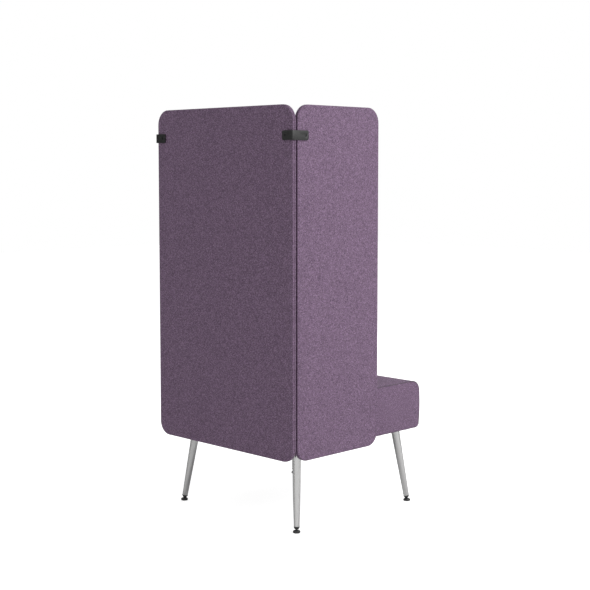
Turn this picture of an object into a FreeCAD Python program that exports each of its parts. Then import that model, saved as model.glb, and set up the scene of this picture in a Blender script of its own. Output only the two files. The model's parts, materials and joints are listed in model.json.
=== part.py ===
import FreeCAD, Part
import os
import re
import Sketcher
from FreeCAD import Placement, Rotation, Vector

# Acoustic high back lounge chair. Millimetres, +Z up, sitter facing -Y. Left and right are the sitter's.
# The origin is on the floor, under the middle of the chair's box.
# Three upholstered acoustic panels stand round the rear of a cushioned seat on four splayed tapered legs.

# Driving dimensions
SIZES = {
    "overall_width": 660,
    "overall_depth": 660,
    "overall_height": 1370,
    # acoustic panels
    "panel_low": 244,
    "panel_top_radius": 50,
    "panel_low_radius": 45,
    "board_thick": 6,
    "pad_thick": 3.5,
    "cover_thick": 1,
    "cover_chamfer": 1.5,
    "seam_gap": 1,
    "layer_gap": 0.2,
    "side_length": 380.5,
    "corner_gap": 6,
    # corner clips
    "clip_thick": 5,
    "clip_high": 30,
    "clip_inset": 96,
    "clip_back_reach": 48,
    "clip_side_reach": 70,
    "clip_round": 5,
    "clip_bend": 2,
    "clip_screw_inset": 13,
    "clip_head_radius": 5,
    "clip_head_thick": 2.8,
    "clip_screw_radius": 2.5,
    "clip_socket_radius": 2,
    "clip_socket_deep": 2,
    # machine screws and inserts that hold the panels
    "bolt_radius": 3,
    "bolt_head_radius": 6,
    "bolt_head_thick": 4,
    "insert_radius": 5,
    "hole_gap": 0.3,
    "bolt_high": 300,
    "side_bolt_rear": 150,
    "side_bolt_inset": 30.5,
    "rear_bolt_spread": 180,
    "spacer_radius": 11,
    "side_gap": 10,
    "rear_gap": 7.5,
    # seat
    "seat_low": 262,
    "seat_seam": 430,
    "seat_bulge": 8,
    "seat_side_bulge": 5,
    "seat_crown": 8,
    "seat_side_crown": 2,
    "seat_corner": 18,
    "fabric_thick": 1.5,
    "front_pad": 12,
    "side_pad": 5,
    "rail_thick": 20,
    "rail_high": 90,
    "deck_thick": 12,
    "block_wide": 90,
    "block_high": 40,
    "dust_cover_thick": 0.8,
    "dust_cover_inset": 3,
    # back cushion
    "back_cushion_low": 441,
    "back_cushion_top": 880,
    "back_cushion_thick": 105,
    "back_cushion_gap": 7,
    "back_cushion_bulge": 15,
    "back_cushion_side_bulge": 8,
    "back_cushion_crown": 5,
    "back_cushion_side_crown": 2,
    "back_cushion_corner": 25,
    "back_board_thick": 12,
    "back_board_inset": 20,
    # upright bars behind the back cushion
    "upright_wide": 40,
    "upright_thick": 5,
    "upright_spread": 300,
    "upright_low": 272,
    "upright_top": 800,
    "wood_screw_radius": 2.5,
    "wood_screw_length": 17.5,
    "wood_screw_head_radius": 5,
    "wood_screw_head_thick": 2,
    "upright_screw_inset": 20,
    "upright_screw_pitch": 45,
    # legs
    "foot_side_inset": 49,
    "foot_front_inset": 42,
    "foot_rear_inset": 66,
    "leg_splay": 10,
    "leg_top_radius": 15,
    "leg_foot_radius": 9.7,
    "leg_bore_radius": 8.2,
    "leg_cap": 3,
    "leg_boss_radius": 10,
    "plate_wide": 70,
    "plate_thick": 4,
    "plate_hole_spread": 50,
    "plate_screw_length": 25,
    # levelling glides
    "foot_radius": 12,
    "foot_thick": 6,
    "hub_radius": 6.5,
    "hub_top": 9.5,
    "pivot_middle": 6.5,
    "pivot_radius": 4,
    "pivot_high": 2.8,
    "socket_radius": 4.37,
    "socket_high": 4.9,
    "socket_lip_radius": 3.7,
    "pin_radius": 2.5,
    "nut_low": 5.2,
    "nut_high": 4.3,
    "nut_radius": 7.2,
    "stud_radius": 4,
    "stud_gap": 0.08,
    "stud_length": 26,
    "stem_stop_gap": 0.3,
    "plug_flange_radius": 10.2,
    "plug_flange_thick": 3,
    "plug_length": 22,
    "plug_fit_gap": 0.1,
}

# Derived places, each a formula of the driving dimensions
PANEL_THICK = "(2 * cover_thick + 2 * pad_thick + board_thick)"
SIDE_FACE = "(overall_width / 2)"
BACK_FACE = "((overall_depth - clip_thick) / 2)"
BACK_INNER = f"({BACK_FACE} - {PANEL_THICK})"
SIDE_REAR = f"({BACK_INNER} - corner_gap)"
SIDE_MIDDLE = f"({SIDE_REAR} - side_length / 2)"
SIDE_BOLTS = [f"({SIDE_REAR} - side_length + side_bolt_inset)", f"({SIDE_REAR} - side_bolt_rear)"]
CLIP_MIDDLE = "(overall_height - clip_inset)"
SEAT_HALF = f"({SIDE_FACE} - {PANEL_THICK} - side_gap)"
SEAT_REAR = f"({BACK_INNER} - rear_gap)"
SEAT_FRONT = f"({BACK_FACE} - overall_depth + seat_bulge)"
RAIL_HALF = f"({SEAT_HALF} - fabric_thick - side_pad)"
RAIL_FRONT = f"({SEAT_FRONT} + fabric_thick + front_pad)"
RAIL_REAR = f"({SEAT_REAR} - fabric_thick)"
DECK_LOW = "(seat_low + rail_high)"
CUSHION_HALF = f"({SEAT_HALF} - back_cushion_gap)"
CUSHION_FRONT = f"({SEAT_REAR} - back_cushion_thick)"
FOOT_REAR = f"({BACK_FACE} - foot_rear_inset)"
FOOT_FRONT = f"({BACK_FACE} - overall_depth + foot_front_inset)"
FOOT_SIDE = f"({SIDE_FACE} - foot_side_inset)"
PLATE_LOW = "(seat_low - plate_thick)"
LEG_LEAN = f"(({PLATE_LOW} - pivot_middle) * tan(leg_splay) / sqrt(2))"
# along a leg's axis, upwards from the middle of the glide's pivot
NUT_TOP = "(nut_low + nut_high)"
PLUG_LOW = f"({NUT_TOP} + stem_stop_gap)"
TUBE_LOW = f"({PLUG_LOW} + plug_flange_thick)"
LEG_TOP = f"(({PLATE_LOW} - pivot_middle - leg_top_radius * sin(leg_splay)) / cos(leg_splay))"
LEG_LENGTH = f"({LEG_TOP} - {TUBE_LOW})"
BOSS_LENGTH = f"((seat_low - pivot_middle - leg_boss_radius * sin(leg_splay)) / cos(leg_splay) - {LEG_TOP})"

# How many flats a small hole, a rod, a disc and a leg are drawn with
HOLE_SIDES = 12
ROD_SIDES = 12
DISC_SIDES = 28
LEG_SIDES = 48

doc = FreeCAD.newDocument("lounge_chair")
sheet = doc.addObject("Spreadsheet::Sheet", "Sizes")
for row, (alias, size) in enumerate(SIZES.items(), 1):
    sheet.set(f"A{row}", alias)
    sheet.set(f"B{row}", str(size))
    sheet.setAlias(f"B{row}", alias)
doc.recompute()

nodes = {}


# Helpers for formulas and bindings
def formula(text):
    """The formula with each size written as its cell in the sheet."""
    return re.sub(r"[a-z_]+", lambda word: "Sizes." + word[0] if word[0] in SIZES else word[0], str(text))


def value(text):
    return float(sheet.evalExpression(formula(text)))


def bind(item, **sizes):
    for name, text in sizes.items():
        item.setExpression(name, formula(text))
    return item


def place(item, x, y, z, turn=None):
    """Puts an item at a bound place, after an optional turn."""
    item.Placement = Placement(Vector(value(x), value(y), value(z)), turn or Rotation())
    for axis, text in zip("xyz", (x, y, z)):
        item.setExpression(f"Placement.Base.{axis}", formula(text))
    return item


def node(item, name):
    """Names an item as one piece of the chair."""
    item.Label = name
    nodes[name] = item
    return item


# Helpers for sketched bodies
def new_body(name):
    return doc.addObject("PartDesign::Body", name)


def new_sketch(body, name, role, lift="0"):
    sketch = body.newObject("Sketcher::SketchObject", name)
    plane = next(item for item in body.Origin.OriginFeatures if item.Role == role)
    sketch.AttachmentSupport = (plane, [""])
    sketch.MapMode = "FlatFace"
    sketch.setExpression(".AttachmentOffset.Base.z", formula(lift))
    return sketch


def hold(sketch, kind, where, text):
    """A named dimension of the sketch, bound to a formula."""
    index = sketch.addConstraint(Sketcher.Constraint(kind, *where, value(text)))
    name = f"{kind}_{index}"
    sketch.renameConstraint(index, name)
    sketch.setExpression(f"Constraints.{name}", formula(text))


def outline(sketch, corners):
    """A closed outline through corners (x, y, rise), anticlockwise. Each edge bulges out by its rise."""
    points = [Vector(value(x), value(y), 0) for x, y, rise in corners]
    ends = []
    for index, (x, y, rise) in enumerate(corners):
        start = points[index]
        finish = points[(index + 1) % len(points)]
        if rise is None:
            edge = sketch.addGeometry(Part.LineSegment(start, finish))
            ends.append((edge, 1, 2))
            continue
        run = finish - start
        middle = (start + finish) / 2 + Vector(run.y, -run.x, 0).normalize() * value(rise)
        edge = sketch.addGeometry(Part.Arc(start, middle, finish))
        first = sketch.getPoint(edge, 1)
        ends.append((edge, 1, 2) if (first - start).Length < 1e-6 else (edge, 2, 1))
    for index, (x, y, rise) in enumerate(corners):
        edge, first, last = ends[index]
        following = ends[(index + 1) % len(ends)]
        sketch.addConstraint(Sketcher.Constraint("Coincident", edge, last, following[0], following[1]))
        hold(sketch, "DistanceX", (-1, 1, edge, first), x)
        hold(sketch, "DistanceY", (-1, 1, edge, first), y)
        if rise is not None:
            next_x, next_y, next_rise = corners[(index + 1) % len(corners)]
            chord = f"((({next_x}) - ({x}))^2 + (({next_y}) - ({y}))^2)"
            hold(sketch, "Radius", (edge,), f"{chord} / (8 * ({rise})) + ({rise}) / 2")


def rectangle(sketch, left, low, right, high):
    outline(sketch, [(left, low, None), (right, low, None), (right, high, None), (left, high, None)])


def ring(sketch, x, y, radius):
    """A small hole's outline, drawn with flats."""
    corners = []
    for number in range(HOLE_SIDES):
        turn = 360 * number / HOLE_SIDES
        corners.append((f"{x} + ({radius}) * cos({turn})", f"{y} + ({radius}) * sin({turn})", None))
    outline(sketch, corners)


def pad(body, sketch, length):
    feature = body.newObject("PartDesign::Pad", sketch.Name + "_pad")
    feature.Profile = sketch
    bind(feature, Length=length)
    doc.recompute()
    return feature


def drill(body, sketch):
    """Cuts the sketched holes right through the body, both ways from their plane."""
    feature = body.newObject("PartDesign::Pocket", sketch.Name + "_cut")
    feature.Profile = sketch
    feature.Type = "ThroughAll"
    feature.Midplane = True
    doc.recompute()
    return feature


def fillet(body, base, radius, wanted):
    """Rounds the edges of the base feature that the test picks."""
    names = [f"Edge{index + 1}" for index, edge in enumerate(base.Shape.Edges) if wanted(edge)]
    feature = body.newObject("PartDesign::Fillet", base.Name + "_round")
    feature.Base = (base, names)
    bind(feature, Radius=radius)
    doc.recompute()
    return feature


def runs_along(edge, axis):
    first, last = edge.firstVertex().Point, edge.lastVertex().Point
    run = last - first
    return run.Length > 1e-6 and abs(abs(run.dot(axis)) / run.Length - 1) < 1e-6


# Helpers for primitives and booleans
def box(name, x, y, z):
    """A box between bound limits (low, high) along each axis."""
    item = doc.addObject("Part::Box", name)
    bind(item, Length=f"{x[1]} - {x[0]}", Width=f"{y[1]} - {y[0]}", Height=f"{z[1]} - {z[0]}")
    return place(item, x[0], y[0], z[0])


TURNS = {
    "+Z": Rotation(),
    "-Z": Rotation(Vector(1, 0, 0), 180),
    "+X": Rotation(Vector(0, 1, 0), 90),
    "-X": Rotation(Vector(0, 1, 0), -90),
    "+Y": Rotation(Vector(1, 0, 0), -90),
    "-Y": Rotation(Vector(1, 0, 0), 90),
}


def cylinder(name, radius, length, x="0", y="0", z="0", along="+Z"):
    item = doc.addObject("Part::Cylinder", name)
    bind(item, Radius=radius, Height=length)
    return place(item, x, y, z, TURNS[along])


def prism(name, sides, radius, length, x="0", y="0", z="0", along="+Z"):
    item = doc.addObject("Part::Prism", name)
    item.Polygon = sides
    bind(item, Circumradius=radius, Height=length)
    return place(item, x, y, z, TURNS[along])


def hexagon(name, radius, length, *spot):
    return prism(name, 6, radius, length, *spot)


def rod(name, radius, length, *spot):
    """A small round piece or bore, drawn with flats as fine as its size needs."""
    return prism(name, ROD_SIDES, radius, length, *spot)


def disc(name, radius, length, *spot):
    """A wider round piece."""
    return prism(name, DISC_SIDES, radius, length, *spot)


def fuse(name, items):
    item = doc.addObject("Part::MultiFuse", name)
    item.Shapes = items
    return item


def cut(name, base, tools):
    item = doc.addObject("Part::Cut", name)
    item.Base = base
    item.Tool = tools[0] if len(tools) == 1 else group(name + "_tools", tools)
    return item


def group(name, items):
    item = doc.addObject("Part::Compound", name)
    item.Links = items
    return item


# Acoustic panels, drawn flat with the outer face on the XZ plane and the thickness towards -Y
PANEL_SIDES = {
    "back_panel": {"turn": 0, "x": "0", "y": BACK_FACE, "in": (0, -1), "wide": "overall_width"},
    "right_panel": {"turn": 90, "x": f"-{SIDE_FACE}", "y": SIDE_MIDDLE, "in": (1, 0), "wide": "side_length"},
    "left_panel": {"turn": -90, "x": SIDE_FACE, "y": SIDE_MIDDLE, "in": (-1, 0), "wide": "side_length"},
}
CLIP_BACK_HOLE = f"({SIDE_FACE} + clip_thick - clip_back_reach + clip_screw_inset)"
CLIP_SIDE_HOLE = f"({BACK_FACE} + clip_thick - clip_side_reach + clip_screw_inset)"
REAR_BOLTS = ["(-rear_bolt_spread / 2)", "(rear_bolt_spread / 2)"]


def rounded_sheet(name, wide, shrink, thick):
    """A panel layer: an upright sheet with rounded corners, smaller all round by shrink."""
    body = new_body(name)
    sketch = new_sketch(body, name + "_outline", "XZ_Plane")
    half = f"(({wide}) / 2 - ({shrink}))"
    rectangle(sketch, f"-{half}", f"panel_low + ({shrink})", half, f"overall_height - ({shrink})")
    feature = pad(body, sketch, thick)
    middle = value("(panel_low + overall_height) / 2")
    upright = Vector(0, 1, 0)
    feature = fillet(body, feature, f"panel_top_radius - ({shrink})",
                     lambda edge: runs_along(edge, upright) and edge.CenterOfMass.z > middle)
    feature = fillet(body, feature, f"panel_low_radius - ({shrink})",
                     lambda edge: runs_along(edge, upright)
                     and abs(edge.CenterOfMass.z - value(f"panel_low + ({shrink})")) < 1e-4)
    return body, feature


def on_outer_rim(edge):
    spots = [edge.firstVertex().Point, edge.lastVertex().Point, edge.CenterOfMass]
    return all(abs(spot.y) < 1e-4 for spot in spots)


def perforate(body, holes, radius):
    sketch = new_sketch(body, f"{body.Name}_holes_{len(body.Group)}", "XZ_Plane")
    for x, z in holes:
        ring(sketch, x, z, radius)
    drill(body, sketch)


def seat_layer(body, side, depth, flip):
    """Puts a layer at its depth behind the panel's outer face, turned round if it faces the sitter."""
    step_x, step_y = side["in"]
    turn = Rotation(Vector(0, 0, 1), side["turn"] + (180 if flip else 0))
    place(body, f"{side['x']} + ({step_x}) * ({depth})", f"{side['y']} + ({step_y}) * ({depth})", "0", turn)


def flipped(holes):
    return [(f"-({x})", z) for x, z in holes]


for panel, side in PANEL_SIDES.items():
    # where the clip screws and the seat's bolts meet this panel, in the panel's own flat frame
    if panel == "back_panel":
        clip_holes = [(f"{way} * {CLIP_BACK_HOLE}", CLIP_MIDDLE) for way in ("(-1)", "1")]
        bolt_holes = [(x, "bolt_high") for x in REAR_BOLTS]
    else:
        way = "1" if panel == "right_panel" else "(-1)"
        clip_holes = [(f"{way} * ({CLIP_SIDE_HOLE} - {SIDE_MIDDLE})", CLIP_MIDDLE)]
        bolt_holes = [(f"{way} * ({y} - {SIDE_MIDDLE})", "bolt_high") for y in SIDE_BOLTS]
    half_thick = f"({PANEL_THICK} - seam_gap) / 2"
    core = "cover_thick + layer_gap"
    layers = [
        ("outer", False, clip_holes),
        ("inner", True, flipped(bolt_holes)),
    ]
    for layer, flip, holes in layers:
        name = f"{panel}_{layer}_cover"
        pad_face = f"{PANEL_THICK} - cover_thick" if flip else "cover_thick"
        skin, feature = rounded_sheet(name + "_skin", side["wide"], "0", half_thick)
        rim = skin.newObject("PartDesign::Chamfer", name + "_rim")
        edges = enumerate(feature.Shape.Edges, 1)
        rim.Base = (feature, [f"Edge{number}" for number, edge in edges if on_outer_rim(edge)])
        bind(rim, Size="cover_chamfer")
        doc.recompute()
        perforate(skin, holes, "bolt_radius + hole_gap")
        seat_layer(skin, side, PANEL_THICK if flip else "0", flip)
        void_deep = f"{half_thick} - cover_thick"
        void, feature = rounded_sheet(name + "_void", side["wide"], "cover_thick", void_deep)
        seat_layer(void, side, pad_face, flip)
        node(cut(name, skin, [void]), name)
        felt, feature = rounded_sheet(f"{panel}_{layer}_pad", side["wide"], core, "pad_thick")
        perforate(felt, holes, "bolt_radius + hole_gap")
        seat_layer(felt, side, pad_face, flip)
        node(felt, felt.Name)
    board, feature = rounded_sheet(f"{panel}_board", side["wide"], core, "board_thick")
    perforate(board, clip_holes, "clip_screw_radius + layer_gap")
    perforate(board, bolt_holes, "insert_radius + layer_gap")
    seat_layer(board, side, "cover_thick + pad_thick", False)
    node(board, board.Name)

# Corner clips, bent from flat bar round each rear corner
clip_screws = []
for clip, way in (("right_clip", -1), ("left_clip", 1)):
    body = new_body(clip + "_blank")
    sketch = new_sketch(body, clip + "_bend", "XY_Plane", f"{CLIP_MIDDLE} - clip_high / 2")
    outer_x = f"{way} * ({SIDE_FACE} + clip_thick)"
    inner_x = f"{way} * {SIDE_FACE}"
    end_x = f"{way} * ({SIDE_FACE} + clip_thick - clip_back_reach)"
    outer_y = f"{BACK_FACE} + clip_thick"
    end_y = f"{BACK_FACE} + clip_thick - clip_side_reach"
    bend = [(outer_x, outer_y), (outer_x, end_y), (inner_x, end_y)]
    bend += [(inner_x, BACK_FACE), (end_x, BACK_FACE), (end_x, outer_y)]
    outline(sketch, [(x, y, None) for x, y in (bend if way < 0 else bend[::-1])])
    feature = pad(body, sketch, "clip_high")
    corner = Vector(value(outer_x), value(outer_y), 0)
    feature = fillet(body, feature, "clip_bend", lambda edge: runs_along(edge, Vector(0, 0, 1))
                     and (edge.CenterOfMass - corner).cross(Vector(0, 0, 1)).Length < 1e-4)
    tips = (value(end_x), value(end_y))
    feature = fillet(body, feature, "clip_round", lambda edge:
                     (runs_along(edge, Vector(0, 1, 0)) and abs(edge.CenterOfMass.x - tips[0]) < 1e-4)
                     or (runs_along(edge, Vector(1, 0, 0)) and abs(edge.CenterOfMass.y - tips[1]) < 1e-4))
    # each leg of the clip takes one sunken screw, which runs into the panel's board
    spots = [
        ("back", f"{way} * {CLIP_BACK_HOLE}", f"{BACK_FACE} + clip_thick", "-Y"),
        ("side", f"{way} * ({SIDE_FACE} + clip_thick)", CLIP_SIDE_HOLE, "-X" if way > 0 else "+X"),
    ]
    depth = "clip_thick + cover_thick + pad_thick"
    sinks = []
    for leg, x, y, along in spots:
        base = f"{clip}_{leg}"
        spot = (x, y, CLIP_MIDDLE, along)
        sinks.append(rod(base + "_sink", "clip_head_radius + hole_gap", "clip_head_thick", *spot))
        sinks.append(rod(base + "_bore", "clip_screw_radius + hole_gap", "clip_thick", *spot))
        head = rod(base + "_head", "clip_head_radius", "clip_head_thick", *spot)
        shank = rod(base + "_shank", "clip_screw_radius", f"{depth} + board_thick", *spot)
        key = hexagon(base + "_key", "clip_socket_radius", "clip_socket_deep", *spot)
        clip_screws.append(cut(base + "_screw", fuse(base + "_blank", [head, shank]), [key]))
    node(cut(clip, body, sinks), clip)
node(group("clip_screws", clip_screws), "clip_screws")

# Bolts from the seat frame to the three panels, each through a spacer into an insert in the panel's board
panel_bolts = []
panel_spacers = []
board_inserts = []
side_bores = {-1: [], 1: []}
rear_bores = []
bolt_spots = [(way, y) for way in (-1, 1) for y in SIDE_BOLTS] + [(0, x) for x in REAR_BOLTS]
for number, (way, spot) in enumerate(bolt_spots, 1):
    along = {-1: "-X", 1: "+X", 0: "+Y"}[way]

    def at(distance):
        """The bolt's own axis at this distance from the middle of the chair."""
        if way:
            return f"({way}) * ({distance})", spot, "bolt_high", along
        return spot, distance, "bolt_high", along

    rail_inner = f"{RAIL_HALF} - rail_thick" if way else f"{RAIL_REAR} - rail_thick"
    seat_side = SEAT_HALF if way else SEAT_REAR
    gap = "side_gap" if way else "rear_gap"
    board_inner = f"{seat_side} + {gap} + cover_thick + pad_thick"
    length = f"({board_inner} + board_thick) - ({rail_inner})"
    head_spot = at(f"{rail_inner} - bolt_head_thick")
    head = hexagon(f"bolt_{number}_head", "bolt_head_radius", "bolt_head_thick", *head_spot)
    shank = rod(f"bolt_{number}_shank", "bolt_radius", length, *at(rail_inner))
    panel_bolts.append(fuse(f"bolt_{number}", [head, shank]))
    spacer = hexagon(f"spacer_{number}_blank", "spacer_radius", gap, *at(seat_side))
    spacer_bore = rod(f"spacer_{number}_bore", "bolt_radius + hole_gap", gap, *at(seat_side))
    panel_spacers.append(cut(f"spacer_{number}", spacer, [spacer_bore]))
    sleeve = rod(f"insert_{number}_sleeve", "insert_radius", "board_thick", *at(board_inner))
    tap = rod(f"insert_{number}_tap", "bolt_radius + plug_fit_gap", "board_thick", *at(board_inner))
    board_inserts.append(cut(f"insert_{number}", sleeve, [tap]))
    bore = cylinder(f"bore_{number}", "bolt_radius + hole_gap", length, *at(rail_inner))
    (side_bores[way] if way else rear_bores).append(bore)
node(group("panel_bolts", panel_bolts), "panel_bolts")
node(group("panel_spacers", panel_spacers), "panel_spacers")
node(group("board_inserts", board_inserts), "board_inserts")

# Upright bars and their screws
upright_bores = {-1: [], 1: []}
upright_screws = []
screw_heights = [
    "upright_low + upright_screw_inset",
    "upright_low + upright_screw_inset + upright_screw_pitch",
    "upright_top - upright_screw_inset - upright_screw_pitch",
    "upright_top - upright_screw_inset",
]
for upright, way in (("right_upright", -1), ("left_upright", 1)):
    middle = f"({way}) * upright_spread / 2"
    bar = box(upright + "_bar", (f"({middle} - upright_wide / 2)", f"({middle} + upright_wide / 2)"),
              (SEAT_REAR, f"({SEAT_REAR} + upright_thick)"), ("upright_low", "upright_top"))
    for number, height in enumerate(screw_heights, 1):
        screw = f"{upright}_screw_{number}"
        outer = f"{SEAT_REAR} + upright_thick"
        spot = (middle, outer, height)
        shank = hexagon(screw + "_shank", "wood_screw_radius", "wood_screw_length", *spot, "-Y")
        head = hexagon(screw + "_head", "wood_screw_head_radius", "wood_screw_head_thick", *spot, "+Y")
        upright_screws.append(fuse(screw, [shank, head]))
        bore_size = ("wood_screw_radius + layer_gap", "wood_screw_length + layer_gap")
        upright_bores[way].append(hexagon(screw + "_bore", *bore_size, *spot, "-Y"))
    node(cut(upright, bar, upright_bores[way]), upright)
node(group("upright_screws", upright_screws), "upright_screws")
upright_holes = upright_bores[-1] + upright_bores[1]

# Seat frame of timber rails
frame_wide = (f"(-{RAIL_HALF})", RAIL_HALF)
frame_inner = f"({RAIL_HALF} - rail_thick)"
rail_heights = ("seat_low", DECK_LOW)
rear_bar = box("rear_rail_bar", frame_wide, (f"({RAIL_REAR} - rail_thick)", RAIL_REAR), rail_heights)
node(cut("seat_rear_rail", rear_bar, rear_bores + upright_holes), "seat_rear_rail")
front_rail = box("seat_front_rail", frame_wide, (RAIL_FRONT, f"({RAIL_FRONT} + rail_thick)"), rail_heights)
node(front_rail, "seat_front_rail")
inside = (f"({RAIL_FRONT} + rail_thick)", f"({RAIL_REAR} - rail_thick)")
for rail, way, limits in (("seat_right_rail", -1, (f"(-{RAIL_HALF})", f"(-{frame_inner})")),
                          ("seat_left_rail", 1, (frame_inner, RAIL_HALF))):
    node(cut(rail, box(rail + "_bar", limits, inside, rail_heights), side_bores[way]), rail)
cross_middle = f"(({SIDE_BOLTS[0]} + {SIDE_BOLTS[1]}) / 2)"
cross_rail = box("seat_cross_rail", (f"(-{frame_inner})", frame_inner),
                 (f"({cross_middle} - rail_thick / 2)", f"({cross_middle} + rail_thick / 2)"), rail_heights)
node(cross_rail, "seat_cross_rail")
deck = box("seat_deck", frame_wide, (RAIL_FRONT, RAIL_REAR), (DECK_LOW, f"({DECK_LOW} + deck_thick)"))
node(deck, "seat_deck")


# Cushions: a plain foam core under a wadded cover, lofted across the width through crowned side profiles
def side_profile(sketch, low, top, front, rear, corner, bulge, crown):
    """A cushion seen from the side: a swelling front, a rounded top front corner and a crowned top."""
    outline(sketch, [
        (front, low, None),
        (rear, low, None),
        (rear, top, crown),
        (f"({front}) + ({corner})", top, f"({corner}) * (1 - sqrt(0.5))"),
        (front, f"({top}) - ({corner})", bulge),
    ])


def cushion_skin(name, half, limits, bulges, crowns):
    """bulges and crowns give how far the front and the top swell, (side, middle)."""
    body = new_body(name)
    sections = []
    for number, (x, where) in enumerate([(f"-({half})", 0), ("0", 1), (half, 0)], 1):
        sketch = new_sketch(body, f"{name}_section_{number}", "YZ_Plane", x)
        side_profile(sketch, *limits, bulges[where], crowns[where])
        sections.append(sketch)
    loft = body.newObject("PartDesign::AdditiveLoft", name + "_loft")
    loft.Profile = sections[0]
    loft.Sections = sections[1:]
    doc.recompute()
    return body


def cushion_core(name, half, limits):
    """The straight block inside the cover."""
    body = new_body(name)
    sketch = new_sketch(body, name + "_outline", "YZ_Plane", f"-({half})")
    side_profile(sketch, *limits, None, None)
    pad(body, sketch, f"2 * ({half})")
    return body


def side_sheet(name, x, limits, bulge, crown):
    """The flat fabric panel that closes a cushion's side."""
    body = new_body(name)
    sketch = new_sketch(body, name + "_outline", "YZ_Plane", x)
    side_profile(sketch, *limits, bulge, crown)
    pad(body, sketch, "fabric_thick")
    return body


def inset(text, sign):
    return f"(({text}) {sign} fabric_thick)"


def inside_of(low, top, front, rear, corner):
    """The core's limits inside a cover's."""
    return low, inset(top, "-"), inset(front, "+"), inset(rear, "-"), inset(corner, "-")


# Seat cushion
seat_inner = inset(SEAT_HALF, "-")
seat_limits = ("seat_low", "seat_seam", SEAT_FRONT, SEAT_REAR, "seat_corner")
core_limits = inside_of(*seat_limits)
seat_bulges = ("seat_side_bulge", "seat_bulge")
seat_crowns = ("seat_side_crown", "seat_crown")
seat_skin = cushion_skin("seat_skin_form", seat_inner, seat_limits, seat_bulges, seat_crowns)
seat_void = cushion_core("seat_void_form", seat_inner, core_limits)
seat_core = cushion_core("seat_foam_form", seat_inner, core_limits)
frame_tall = ("seat_low", f"({DECK_LOW} + deck_thick)")
frame_space = box("frame_space", frame_wide, (RAIL_FRONT, RAIL_REAR), frame_tall)
side_holes = side_bores[-1] + side_bores[1]
node(cut("seat_foam", seat_core, [frame_space] + side_holes), "seat_foam")
node(cut("seat_top_cover", seat_skin, [seat_void] + rear_bores + upright_holes), "seat_top_cover")
for name, way, x in (("seat_right_cover", -1, f"(-{SEAT_HALF})"), ("seat_left_cover", 1, seat_inner)):
    sheet_body = side_sheet(name + "_sheet", x, seat_limits, "seat_side_bulge", "seat_side_crown")
    node(cut(name, sheet_body, side_bores[way]), name)

# Back cushion on its board
back_inner = inset(CUSHION_HALF, "-")
back_limits = ("back_cushion_low", "back_cushion_top", CUSHION_FRONT, SEAT_REAR, "back_cushion_corner")
core_limits = (inset("back_cushion_low", "+"), *inside_of(*back_limits)[1:])
back_bulges = ("back_cushion_side_bulge", "back_cushion_bulge")
back_crowns = ("back_cushion_side_crown", "back_cushion_crown")
back_skin = cushion_skin("back_skin_form", back_inner, back_limits, back_bulges, back_crowns)
back_void = cushion_core("back_void_form", back_inner, core_limits)
back_core = cushion_core("back_foam_form", back_inner, core_limits)
board_x = (f"(-{CUSHION_HALF} + back_board_inset)", f"({CUSHION_HALF} - back_board_inset)")
board_y = (f"({RAIL_REAR} - back_board_thick)", RAIL_REAR)
board_z = ("(back_cushion_low + back_board_inset)", "(back_cushion_top - back_board_inset)")
board_blank = box("back_board_blank", board_x, board_y, board_z)
board_space = box("back_board_space", board_x, board_y, board_z)
node(cut("back_cushion_board", board_blank, upright_holes), "back_cushion_board")
node(cut("back_cushion_foam", back_core, [board_space]), "back_cushion_foam")
node(cut("back_cushion_front_cover", back_skin, [back_void] + upright_holes), "back_cushion_front_cover")
for name, x in (("back_cushion_right_cover", f"(-{CUSHION_HALF})"), ("back_cushion_left_cover", back_inner)):
    node(side_sheet(name, x, back_limits, "back_cushion_side_bulge", "back_cushion_side_crown"), name)

# Legs, each a tapered tube on a plate under the seat, with a threaded plug and a levelling glide
def taper(name, low_radius, top_radius, length):
    """A tapered bar that stands on the origin."""
    ends = []
    for number, (radius, lift) in enumerate(((low_radius, "0"), (top_radius, length)), 1):
        end = doc.addObject("Part::RegularPolygon", f"{name}_end_{number}")
        end.Polygon = LEG_SIDES
        bind(end, Circumradius=radius)
        ends.append(place(end, "0", "0", lift))
    loft = doc.addObject("Part::Loft", name)
    loft.Sections = ends
    loft.Solid = True
    loft.Ruled = True
    doc.recompute()
    return loft


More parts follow.
